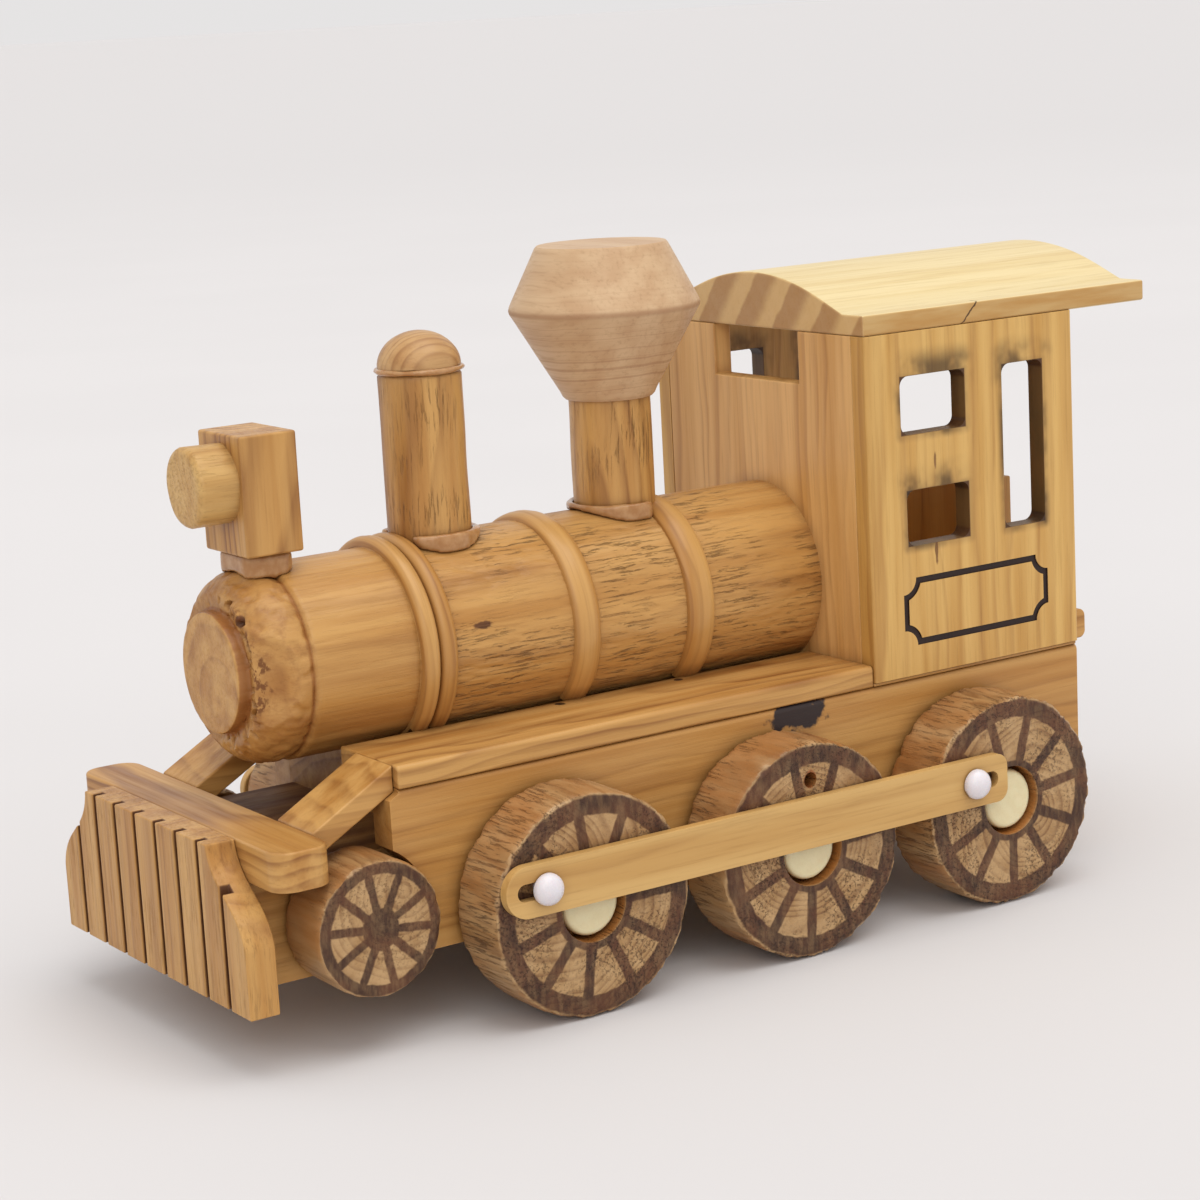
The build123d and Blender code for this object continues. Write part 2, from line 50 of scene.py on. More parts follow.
SMOKEBOX = (58.6, 79.7)              # rear and front of the boiler's front section
RIM_CREST = (86.4, 17.5)             # (x, r) on the boiler's rounded rim
FACET_POINT = (86.2, 15.6)           # (x, y) on the flat pared off the rim
FACET_TURN = math.radians(55)
FACE_R = 14.4
DOOR_R = 11.3
DOOR_PROUD = 2.2
STACK_RIM_Z = 122.3
PEG_BORE_R = 3.05
HUB_R = 6.85
HUB_DEPTH = 6.5
SPARE_R = 1.5                        # unused pin hole of a middle wheel
SPARE_DEPTH = 8.0
SPARE_RISE = 13.7                    # above the axle
SAW_PITCH = 8.5
SAW_WIDTH = 1.3
SAW_DEPTH = 2.0
NAIL_X = (27.2, -0.4)
NAIL_Y = 15.4
NAIL_Z = 49.8
LOBES = 0.9                          # dents round a turned piece


# ---- facts from the frame ----

def low(node):
    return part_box(node)[0] / MM


def high(node):
    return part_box(node)[1] / MM


def mid(node):
    return (low(node) + high(node)) / 2


# ---- shader building ----

def srgb(r, g, b):
    """Linear colour of an 8-bit display colour."""
    def linear(c):
        c /= 255
        return c / 12.92 if c <= 0.04045 else ((c + 0.055) / 1.055) ** 2.4
    return (linear(r), linear(g), linear(b), 1.0)


class Graph:
    """A material's node tree with short calls for the nodes used here."""

    def __init__(self, name):
        self.material = bpy.data.materials.new(name)
        self.material.use_nodes = True
        self.tree = self.material.node_tree
        self.tree.nodes.clear()
        self.out = self.tree.nodes.new("ShaderNodeOutputMaterial")
        self.shader = self.tree.nodes.new("ShaderNodeBsdfPrincipled")
        self.tree.links.new(self.shader.outputs[0], self.out.inputs[0])

    def put(self, socket, value):
        if value is None:
            return
        if isinstance(value, bpy.types.NodeSocket):
            self.tree.links.new(value, socket)
        else:
            socket.default_value = value

    def math(self, operation, a, b=None, c=None):
        node = self.tree.nodes.new("ShaderNodeMath")
        node.operation = operation
        for socket, value in zip(node.inputs, (a, b, c)):
            self.put(socket, value)
        return node.outputs[0]

    def mul(self, a, b):
        return self.math("MULTIPLY", a, b)

    def add(self, a, b):
        return self.math("ADD", a, b)

    def sub(self, a, b):
        return self.math("SUBTRACT", a, b)

    def div(self, a, b):
        return self.math("DIVIDE", a, b)

    def mul_add(self, a, b, c):
        """a * b + c"""
        return self.math("MULTIPLY_ADD", a, b, c)

    def most(self, a, b):
        return self.math("MAXIMUM", a, b)

    def least(self, a, b):
        return self.math("MINIMUM", a, b)

    def size(self, a):
        """a without its sign"""
        return self.math("ABSOLUTE", a)

    def fract(self, a):
        return self.math("FRACT", a)

    def hypot(self, a, b):
        return self.math("SQRT", self.add(self.mul(a, a), self.mul(b, b)))

    def vector(self, x, y, z):
        node = self.tree.nodes.new("ShaderNodeCombineXYZ")
        for socket, value in zip(node.inputs, (x, y, z)):
            self.put(socket, value)
        return node.outputs[0]

    def vmath(self, operation, a, b):
        node = self.tree.nodes.new("ShaderNodeVectorMath")
        node.operation = operation
        self.put(node.inputs[0], a)
        self.put(node.inputs[1], b)
        return node.outputs["Value" if operation == "DOT_PRODUCT" else "Vector"]

    def scaled(self, vector, x, y, z):
        return self.vmath("MULTIPLY", vector, (x, y, z))

    def split(self, vector):
        node = self.tree.nodes.new("ShaderNodeSeparateXYZ")
        self.put(node.inputs[0], vector)
        return node.outputs[:3]

    def place(self):
        """Object position in millimetres."""
        node = self.tree.nodes.new("ShaderNodeTexCoord")
        return self.vmath("MULTIPLY", node.outputs["Object"], (1 / MM,) * 3)

    def facing(self):
        """Outward normal in the object's own axes."""
        return self.tree.nodes.new("ShaderNodeTexCoord").outputs["Normal"]

    def noise(self, vector, scale=1.0, detail=3.0, roughness=0.55):
        node = self.tree.nodes.new("ShaderNodeTexNoise")
        self.put(node.inputs["Vector"], vector)
        node.inputs["Scale"].default_value = scale
        node.inputs["Detail"].default_value = detail
        node.inputs["Roughness"].default_value = roughness
        return node.outputs[0]

    def span(self, value, low_in, high_in, low_out=0.0, high_out=1.0, smooth=True):
        node = self.tree.nodes.new("ShaderNodeMapRange")
        node.interpolation_type = "SMOOTHSTEP" if smooth else "LINEAR"
        node.clamp = True
        for socket, item in zip(node.inputs, (value, low_in, high_in, low_out, high_out)):
            self.put(socket, item)
        return node.outputs[0]

    def ramp(self, value, stops):
        node = self.tree.nodes.new("ShaderNodeValToRGB")
        self.put(node.inputs[0], value)
        elements = node.color_ramp.elements
        while len(elements) < len(stops):
            elements.new(0.5)
        for element, (position, colour) in zip(elements, stops):
            element.position = position
            element.color = colour
        return node.outputs[0]

    def mix(self, amount, a, b, blend="MIX"):
        node = self.tree.nodes.new("ShaderNodeMix")
        node.data_type = "RGBA"
        node.blend_type = blend
        self.put(node.inputs[0], amount)
        self.put(node.inputs[6], a)
        self.put(node.inputs[7], b)
        return node.outputs[2]

    def edges(self, radius_mm):
        """Near 1 on rounded outer edges, 0 on open faces: the mask for edge wear and for painted highlights
        along edges.
        """
        bevel = self.tree.nodes.new("ShaderNodeBevel")
        bevel.samples = 4
        bevel.inputs[0].default_value = radius_mm * MM
        normal = self.tree.nodes.new("ShaderNodeNewGeometry").outputs["Normal"]
        same = self.vmath("DOT_PRODUCT", bevel.outputs[0], normal)
        return self.span(same, 0.995, 0.86)

    def creases(self, distance_mm):
        """Near 1 deep in corners, 0 in the open: the mask for painted shade in corners."""
        node = self.tree.nodes.new("ShaderNodeAmbientOcclusion")
        node.samples = 6
        node.inputs["Distance"].default_value = distance_mm * MM
        return self.math("SUBTRACT", 1.0, node.outputs["AO"])

    def bump(self, height, depth_mm):
        node = self.tree.nodes.new("ShaderNodeBump")
        node.inputs["Strength"].default_value = 1.0
        node.inputs["Distance"].default_value = depth_mm * MM
        self.put(node.inputs["Height"], height)
        self.put(self.shader.inputs["Normal"], node.outputs[0])

    def finish(self, colour, roughness, coat=0.0, coat_roughness=0.2):
        self.put(self.shader.inputs["Base Color"], colour)
        self.put(self.shader.inputs["Roughness"], roughness)
        self.shader.inputs["Coat Weight"].default_value = coat
        self.shader.inputs["Specular IOR Level"].default_value = 0.3
        self.shader.inputs["Coat Roughness"].default_value = coat_roughness
        return self.material


HONEY = (srgb(202, 155, 90), srgb(180, 128, 64), srgb(126, 76, 33))
PALE = (srgb(228, 208, 156), srgb(220, 196, 138), srgb(196, 160, 100))
RAW = (srgb(206, 174, 136), srgb(194, 158, 120), srgb(164, 124, 88))
STICK = (srgb(208, 168, 104), srgb(194, 150, 86), srgb(164, 118, 62))
WHEEL = (srgb(190, 154, 108), srgb(168, 130, 84), srgb(118, 80, 46))
CAP = (srgb(200, 160, 108), srgb(182, 136, 84), srgb(142, 96, 54))
CAB_SIDE = (srgb(216, 174, 102), srgb(196, 148, 76), srgb(150, 98, 44))
FRONT = (srgb(222, 176, 112), srgb(204, 154, 88), srgb(154, 102, 52))
GRAIN_ORDER = {"X": (0, 1, 2), "Y": (1, 2, 0), "Z": (2, 0, 1)}


def bent(g, parts, around):
    """Position in a strip steamed round an X axis at (height, radius): length runs round the bend."""
    dz = g.sub(parts[2], around[0])
    turn = g.mul(g.math("ARCTAN2", parts[1], dz), around[1])
    return parts[0], turn, g.hypot(parts[1], dz)


def wood(name, grain, pith, spacing=3.0, colours=HONEY, seed=0.0, torn=0.0, contrast=1.0,
         gloss=0.3, relief=0.10, marks=(), bent_at=None, torn_to=None):
    """Solid wood: year rings round a pith line along the grain, fibres, stain, wear and painted highlight
    on edges, painted shade in corners.

    grain is the axis the fibres run along, pith the pith line's place in the other two axes (mm).
    marks are functions of (graph, place) giving (mask, colour, roughness) painted over the wood.
    bent_at is the (height, radius) a strip was steamed round. The torn fibres fade where the grain
    passes torn_to.
    """
    g = Graph(name)
    place = g.place()
    parts = g.split(place)
    if bent_at:
        parts = bent(g, parts, bent_at)
    u, v, w = (parts[i] for i in GRAIN_ORDER[grain])
    shift = g.vector(g.mul_add(u, 0.018, seed), g.mul(v, 0.05), g.mul(w, 0.05))
    sway = g.sub(g.noise(shift, 1.0, 2.0), 0.5)
    a = g.sub(v, pith[0])
    b = g.sub(w, pith[1])
    radius = g.hypot(a, b)
    radius = g.mul_add(sway, 7.0, radius)
    years = g.noise(g.vector(g.mul(radius, 0.11), seed + 3.0, 0.0), 1.0, 1.0)
    phase = g.fract(g.mul_add(years, 5.0, g.div(radius, spacing)))
    late = g.ramp(phase, ((0.0, (0, 0, 0, 1)), (0.45, (0.12, 0.12, 0.12, 1)),
                          (0.84, (1, 1, 1, 1)), (1.0, (0, 0, 0, 1))))
    fibre_at = g.vector(g.mul_add(u, 0.05, seed), g.mul(v, 1.5), g.mul(w, 1.5))
    fibre = g.noise(fibre_at, 1.0, 5.0, 0.65)
    broad_at = g.vector(g.mul_add(u, 0.012, seed + 9.0), g.mul(v, 0.22), g.mul(w, 0.22))
    broad = g.noise(broad_at, 1.0, 2.0)
    strength = g.mul(late, g.span(broad, 0.3, 0.7, 0.35 * contrast, contrast))
    colour = g.mix(g.span(broad, 0.3, 0.72), colours[0], colours[1])
    colour = g.mix(g.mul(strength, 0.75), colour, colours[2])
    streak = g.ramp(fibre, ((0.25, (0.66, 0.60, 0.54, 1)), (0.48, (1, 1, 1, 1)), (0.8, (1.0, 1.0, 1.0, 1))))
    colour = g.mix(0.55, colour, streak, "MULTIPLY")
    height = g.mul_add(late, 0.25, g.mul(fibre, 0.7))
    rough = g.span(fibre, 0.3, 0.7, 0.52, 0.36)
    if torn:
        wave = g.mul(sway, 5.0)
        tear_v = g.mul(g.add(v, wave), 1.9)
        tear_at = g.vector(g.mul_add(u, 0.13, seed), tear_v, g.mul(w, 1.9))
        tears = g.noise(tear_at, 1.0, 5.0, 0.7)
        patches = g.noise(g.scaled(place, 0.06, 0.06, 0.06), 1.0, 2.0)
        tear = g.mul(g.span(tears, 0.53, 0.64), g.span(patches, 0.40, 0.60, 0.15, 1.0))
        if torn_to is not None:
            tear = g.mul(tear, g.span(u, torn_to, torn_to - 1.0, 0.12, 1.0))
        colour = g.mix(g.mul(tear, 0.56 * torn), colour, srgb(104, 60, 24))
        height = g.sub(height, g.mul(tear, 1.4 * torn))
        rough = g.mul_add(tear, 0.25, rough)
    # Lighter edges in patches: partly wear, partly a painted highlight along the edges.
    wear_and_highlight = g.edges(0.9)
    wear_highlight_patches = g.noise(g.scaled(place, 0.25, 0.25, 0.25), 1.0, 3.0)
    wear_and_highlight = g.mul(wear_and_highlight, g.span(wear_highlight_patches, 0.38, 0.62))
    colour = g.mix(g.mul(wear_and_highlight, 0.45), colour, colours[0])
    # Painted shade: darker brown deep in corners and creases, partly the varnish pooled there.
    colour = g.mix(g.mul(g.creases(3.0), 0.55), colour, srgb(132, 80, 38), "MULTIPLY")
    for mark in marks:
        mask, tint, tint_rough = mark(g, place)
        colour = g.mix(mask, colour, tint)
        rough = g.add(g.mul(rough, g.sub(1.0, mask)), g.mul(mask, tint_rough))
    g.bump(height, relief)
    return g.finish(colour, rough, coat=gloss * 0.6, coat_roughness=0.25)


# ---- burnt marks ----

def burn_colour(g, place):
    """Scorched brown that is darker and lighter in patches."""
    patch = g.noise(g.scaled(place, 0.16, 0.16, 0.16), 1.0, 2.0)
    return g.mix(g.span(patch, 0.35, 0.65), srgb(54, 26, 16), srgb(86, 48, 28))


def spoked(centre, side, face_y, radius, spokes, spoke_width, hub, phase):
    """Wheel pattern burnt into the outer face: spokes, a ring at the rim and one at the hub."""
    rim_in, rim_out, hub_out = radius * 0.80, radius * 0.965, radius * hub

    def mark(g, place):
        x, y, z = g.split(place)
        jitter_at = g.scaled(place, 0.35, 0.35, 0.35)
        jitter = g.sub(g.noise(jitter_at, 1.0, 3.0), 0.5)
        dx = g.sub(x, centre[0])
        dz = g.sub(z, centre[2])
        reach = g.hypot(dx, dz)
        reach = g.mul_add(jitter, 0.9, reach)
        turn = g.mul_add(g.math("ARCTAN2", dz, dx), spokes / math.tau, phase + 10)
        sweep = g.size(g.sub(g.fract(turn), 0.5))
        off = g.mul(reach, g.math("SINE", g.mul(sweep, math.tau / spokes)))
        off = g.mul_add(jitter, 0.6, off)
        spoke = g.span(off, spoke_width / 2 + 0.2, spoke_width / 2 - 0.2)
        inside = g.span(reach, rim_out + 0.25, rim_out - 0.25)
        ring = g.mul(g.span(reach, rim_in - 0.2, rim_in + 0.2), inside)
        boss = g.span(reach, hub_out + 0.2, hub_out - 0.2)
        pattern = g.most(g.mul(spoke, inside), g.most(ring, boss))
        outward = g.mul(g.split(g.facing())[1], side)
        depth = g.mul(y, side)
        on_face = g.mul(g.span(outward, 0.5, 0.8), g.span(depth, face_y - 1.2, face_y - 0.8))
        rays = g.noise(g.scaled(place, 0.9, 0.2, 0.25), 1.0, 3.0, 0.6)
        mask = g.mul(g.mul(pattern, on_face), g.span(rays, 0.35, 0.65, 0.76, 0.94))
        return mask, burn_colour(g, place), 0.62
    return mark


def bored(centre, radius, face_y, side):
    """Orange-brown wall of a drilled hub."""
    def mark(g, place):
        x, y, z = g.split(place)
        dx = g.sub(x, centre[0])
        dz = g.sub(z, centre[2])
        reach = g.hypot(dx, dz)
        depth = g.mul(y, side)
        inside = g.mul(g.span(reach, radius + 0.15, radius - 0.05), g.span(depth, face_y, face_y - 0.6))
        return g.mul(inside, 0.7), srgb(178, 112, 48), 0.55
    return mark


def box_distance(g, a, b, box):
    """Distance outside a rectangle given as (a0, a1, b0, b1), negative inside."""
    da = g.sub(g.size(g.sub(a, (box[0] + box[1]) / 2)), abs(box[1] - box[0]) / 2)
    db = g.sub(g.size(g.sub(b, (box[2] + box[3]) / 2)), abs(box[3] - box[2]) / 2)
    out_a = g.most(da, 0.0)
    out_b = g.most(db, 0.0)
    outside = g.hypot(out_a, out_b)
    return g.add(outside, g.least(g.most(da, db), 0.0))


def scorched_windows(windows):
    """Laser-cut windows: dark cut walls, a thin burnt rim and a smoke smudge above each."""
    def mark(g, place):
        x, y, z = g.split(place)
        smoke_at = g.scaled(place, 0.14, 0.22, 0.10)
        smoke = g.noise(smoke_at, 1.0, 3.0)
        mask = 0.0
        for x0, x1, z0, z1 in windows:
            gap = box_distance(g, x, z, (x0, x1, z0, z1))
            above = box_distance(g, x, z, (x0 + 1.0, x1 - 1.0, z1 - 2.0, z1 + 1.2))
            wall = g.span(gap, 0.35, -0.10, 0.0, 0.95)
            rim = g.mul(g.span(gap, 1.9, 0.0), g.span(smoke, 0.35, 0.65, 0.25, 0.80))
            smudge = g.mul(g.span(above, 5.0, 0.0), g.span(smoke, 0.36, 0.62, 0.12, 0.78))
            mask = g.most(mask, g.most(wall, g.most(rim, smudge)))
        return mask, g.mix(g.span(smoke, 0.4, 0.6), srgb(66, 34, 16), srgb(40, 20, 12)), 0.6
    return mark


def burnt_plate(region, surface, side):
    """Dark floor of the plate outline's shallow groove."""
    def mark(g, place):
        x, y, z = g.split(place)
        depth = g.mul(y, side)
        sunk = g.mul(g.span(depth, surface - 0.06, surface - 0.14),
                     g.span(depth, surface - 0.9, surface - 0.7))
        near = g.span(box_distance(g, x, z, region), 0.4, 0.0)
        return g.mul(sunk, near), srgb(40, 22, 16), 0.6
    return mark


def sawn_grooves(front_x, pitch, width, depth):
    """Scorched walls of the saw cuts between the slats."""
    def mark(g, place):
        x, y, z = g.split(place)
        across = g.fract(g.add(g.div(y, pitch), 100.0))
        near = g.mul(g.size(g.sub(across, 0.5)), pitch)
        inside = g.mul(g.span(near, width / 2 + 0.25, width / 2 + 0.05),
                       g.span(x, front_x - 0.1, front_x - 0.5))
        inside = g.mul(inside, g.span(x, front_x - depth - 0.4, front_x - depth - 0.1))
        inside = g.mul(inside, g.math("LESS_THAN", g.size(y), 4 * pitch))
        return g.mul(inside, 0.92), srgb(74, 36, 16), 0.7
    return mark


def turning_lines(foot_z):
    """Fine level rings that the lathe left, and a rubbed brown line round the widest edge."""
    def mark(g, place):
        z = g.split(place)[2]
        drift = g.sub(g.noise(g.scaled(place, 0.05, 0.05, 0.02), 1.0, 2.0), 0.5)
        level = g.mul_add(drift, 2.5, z)
        fine = g.noise(g.vector(0.0, 0.0, g.mul(level, 1.1)), 1.0, 3.0, 0.7)
        below_rim = g.span(z, foot_z + 16.5, foot_z + 14.5, 0.25, 1.0)
        lines = g.mul(g.span(fine, 0.50, 0.62, 0.0, 0.42), below_rim)
        rubbed = g.mul(g.span(g.size(g.sub(z, STACK_RIM_Z - 0.1)), 0.9, 0.1), 0.55)
        return g.most(lines, rubbed), srgb(150, 106, 72), 0.7
    return mark


def tread_stain(g, place):
    """Orange varnish that soaked into the side grain round a wheel."""
    across = g.size(g.split(g.facing())[1])
    soaked = g.noise(g.scaled(place, 0.12, 0.04, 0.12), 1.0, 3.0)
    mask = g.mul(g.span(across, 0.6, 0.3), g.span(soaked, 0.35, 0.65, 0.10, 0.65))
    return mask, srgb(158, 98, 42), 0.45


def painted_shade_on_top(g, place):
    """Painted shade: darker brown on the block's upward faces, which lie under the boiler and running
    boards.
    """
    up = g.split(g.facing())[2]
    soaked = g.noise(g.scaled(place, 0.05, 0.2, 0.3), 1.0, 3.0)
    return g.mul(g.span(up, 0.5, 0.8), g.span(soaked, 0.3, 0.7, 0.4, 0.8)), srgb(92, 54, 30), 0.75


def end_stripes(g, place):
    """Slanting pale and brown year rings on the sawn ends of the roof block."""
    x, y, z = g.split(place)
    across = g.mul_add(z, -0.75, y)
    ragged = g.noise(g.scaled(place, 0.3, 0.3, 0.3), 1.0, 3.0)
    across = g.mul_add(ragged, 1.6, across)
    years = g.fract(g.add(g.div(across, 12.5), 20.0))
    pale = g.mul(g.span(years, 0.05, 0.35), g.span(years, 0.70, 0.62))
    end = g.span(g.size(g.split(g.facing())[0]), 0.5, 0.8)
    colour = g.mix(pale, srgb(160, 106, 54), srgb(206, 164, 106))
    return g.mul(end, 0.75), colour, 0.55


def eave_stain(g, place):
    """Darker honey varnish along the sawn eaves, below the pale top."""
    across = g.size(g.split(g.facing())[1])
    soaked = g.noise(g.scaled(place, 0.05, 0.2, 0.3), 1.0, 3.0)
    return g.mul(g.span(across, 0.6, 0.9), g.span(soaked, 0.3, 0.7, 0.6, 0.92)), srgb(180, 130, 62), 0.42


def crack(at, slant, half_length, width):
    """A fine dark split in the left eave, leaning across the board."""
    def mark(g, place):
        x, y, z = g.split(place)
        dz = g.sub(z, at[2])
        wander = g.sub(g.noise(g.scaled(place, 0.6, 0.6, 0.6), 1.0, 3.0), 0.5)
        off = g.add(g.mul_add(dz, slant, g.sub(x, at[0])), g.mul(wander, 1.2))
        thin = g.span(g.size(off), width, width * 0.4)
        ends = g.span(g.size(dz), half_length, half_length * 0.7)
        side = g.span(y, at[1] - 3.0, at[1] - 2.0)
        return g.mul(g.mul(thin, ends), g.mul(side, 0.9)), srgb(60, 36, 20), 0.7
    return mark


def blot(centre, size, colour, strength=0.9, edge=0.35):
    """One stain or knot with a ragged outline."""
    def mark(g, place):
        off = g.vmath("SUBTRACT", place, centre)
        off = g.vmath("DIVIDE", off, size)
        ragged = g.noise(g.scaled(place, 0.4, 0.4, 0.4), 1.0, 4.0)
        node = g.tree.nodes.new("ShaderNodeVectorMath")
        node.operation = "LENGTH"
        g.put(node.inputs[0], off)
        reach = g.add(node.outputs["Value"], g.mul(g.sub(ragged, 0.5), 1.3))
        return g.span(reach, 1.0, 1.0 - edge, 0.0, strength), colour, 0.6
    return mark


def plastic(name, colour, dark, gloss_rough, translucent=0.0):
    """Moulded plastic with faint mottling, fine scratches, painted shade in the creases and a painted
    highlight along the edges.
    """
    g = Graph(name)
    place = g.place()
    mottled = g.noise(g.scaled(place, 0.5, 0.5, 0.5), 1.0, 3.0)
    fine = g.noise(g.scaled(place, 3.0, 3.0, 3.0), 1.0, 5.0)
    tint = g.mix(g.span(mottled, 0.3, 0.7), colour, dark)
    # Painted shade: darker in the creases.
    tint = g.mix(g.mul(g.creases(1.5), 0.6), tint, srgb(150, 110, 70), "MULTIPLY")
    # Painted highlight: lighter along the edges.
    tint = g.mix(g.mul(g.edges(0.5), 0.3), tint, colour)
    g.bump(fine, 0.006)
    g.shader.inputs["Subsurface Weight"].default_value = translucent
    g.shader.inputs["Subsurface Radius"].default_value = (1.0, 0.7, 0.5)
    g.shader.inputs["Subsurface Scale"].default_value = 0.0015
    rough = g.span(fine, 0.3, 0.7, gloss_rough, gloss_rough + 0.12)
    return g.finish(tint, rough, coat=0.3, coat_roughness=0.12)


# ---- meshes ----

def clean_copy(node):
    """The node's solid as a bmesh with its flat faces whole."""
    bm = bmesh.new()
    bm.from_mesh(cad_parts[node].data)
    bmesh.ops.remove_doubles(bm, verts=bm.verts, dist=2e-6)
    bmesh.ops.dissolve_limit(bm, angle_limit=math.radians(1.0), verts=bm.verts, edges=bm.edges)
    return bm


def show(name, bm, material, body, nodes, smooth_angle=None):
    """Turns a bmesh into a finished piece that stands for the given nodes."""
    mesh = bpy.data.meshes.new(name)
    bmesh.ops.recalc_face_normals(bm, faces=bm.faces)
    bm.to_mesh(mesh)
    bm.free()
    mesh.materials.append(material)
    piece = bpy.data.objects.new(name, mesh)
    bpy.context.scene.collection.objects.link(piece)
    for face in mesh.polygons:
        face.use_smooth = True
    if smooth_angle:
        mesh.set_sharp_from_angle(angle=math.radians(smooth_angle))
    normals = piece.modifiers.new("normals", "WEIGHTED_NORMAL")
    normals.keep_sharp = True
    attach(piece, body)
    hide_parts(*nodes)
    return piece


def round_edges(bm, width_mm, segments=3, keep=None):
    """Rounds the sharp edges. keep names those left as they are."""
    sharp = [e for e in bm.edges if len(e.link_faces) == 2 and e.calc_face_angle(0) > math.radians(28)]
    if keep:
        sharp = [e for e in sharp if not keep(e)]
    bmesh.ops.bevel(bm, geom=sharp, offset=width_mm * MM, segments=segments, profile=0.5,
                    affect="EDGES", clamp_overlap=True)


def cut_slices(bm, axis, step_mm):
    """Cuts the mesh by planes across an axis, so long pieces can be uneven along their length."""
    values = [v.co[axis] for v in bm.verts]
    count = int((max(values) - min(values)) / (step_mm * MM))
    normal = [0, 0, 0]
    normal[axis] = 1
    for i in range(1, count):
        point = [0, 0, 0]
        point[axis] = min(values) + (max(values) - min(values)) * i / count
        whole = bm.verts[:] + bm.edges[:] + bm.faces[:]
        bmesh.ops.bisect_plane(bm, geom=whole, plane_co=point, plane_no=normal)


def waver(bm, amount_mm, size_mm, seed, lock=()):
    """Slow hand-made unevenness. lock names axes that stay true."""
    for v in bm.verts:
        at = v.co / (size_mm * MM) + Vector((seed, seed * 1.7, -seed))
        push = noise.noise_vector(at) * (amount_mm * MM)
        for axis in lock:
            push[axis] = 0
        v.co += push


def timber(node, body, material, edge=0.55, axis=0, step=6.0, uneven=0.12, seed=1.0,
           keep=None, lock=(2,)):
    """A sawn and sanded piece after its CAD solid."""
    bm = clean_copy(node)
    round_edges(bm, edge, 3, keep)
    if step:
        cut_slices(bm, axis, step)
    waver(bm, uneven, 22.0, seed, lock)
    return show(node.replace("_", "-") + "-wood", bm, material, body, [node], 40)


def grid_solid(rows, closed_rows, closed_cols):
    """bmesh from a grid of points, joined round on itself where closed."""
    bm = bmesh.new()
    verts = [[bm.verts.new(point) for point in row] for row in rows]
    row_count = len(verts)
    col_count = len(verts[0])
    for i in range(row_count if closed_rows else row_count - 1):
        for j in range(col_count if closed_cols else col_count - 1):
            a, b = verts[i][j], verts[(i + 1) % row_count][j]
            c, d = verts[(i + 1) % row_count][(j + 1) % col_count], verts[i][(j + 1) % col_count]
            bm.faces.new((a, b, c, d))
    if not closed_cols:
        for end in (0, -1):
            bm.faces.new([row[end] for row in verts])
    return bm


def resample(points, step):
    """Extra points along a polyline, no further apart than step."""
    dense = []
    for (a0, b0), (a1, b1) in zip(points, points[1:]):
        n = max(1, int(math.hypot(a1 - a0, b1 - b0) / step))
        dense += [(a0 + (a1 - a0) * i / n, b0 + (b1 - b0) * i / n) for i in range(n)]
    return dense + [points[-1]]


def ripple(a, b, c, seed):
    return noise.noise(Vector((a + seed, b - seed, c + 0.37 * seed)))


def drilled(bm, place, radius, depth, side):
    """The mesh with a blind hole drilled along Y."""
    target = bpy.data.objects.new("target", bpy.data.meshes.new("target"))
    bm.to_mesh(target.data)
    bm.free()
    bit = bmesh.new()
    bmesh.ops.create_cone(bit, cap_ends=True, segments=40, radius1=radius * MM, radius2=radius * MM,
                          depth=(depth + 2) * MM)
    turn = Matrix.Rotation(math.pi / 2, 4, "X")
    move = Matrix.Translation((place[0] * MM, (place[1] - side * (depth - 2) / 2) * MM, place[2] * MM))
    bmesh.ops.transform(bit, matrix=move @ turn, verts=bit.verts)
    cutter = bpy.data.objects.new("cutter", bpy.data.meshes.new("cutter"))
    bit.to_mesh(cutter.data)
    bit.free()
    for item in (target, cutter):
        bpy.context.scene.collection.objects.link(item)
    cut = target.modifiers.new("cut", "BOOLEAN")
    cut.operation = "DIFFERENCE"
    cut.object = cutter
    bpy.context.view_layer.update()
    evaluated = target.evaluated_get(bpy.context.evaluated_depsgraph_get())
    out = bmesh.new()
    out.from_mesh(evaluated.to_mesh())
    evaluated.to_mesh_clear()
    bpy.data.objects.remove(target)
    bpy.data.objects.remove(cutter)
    return out


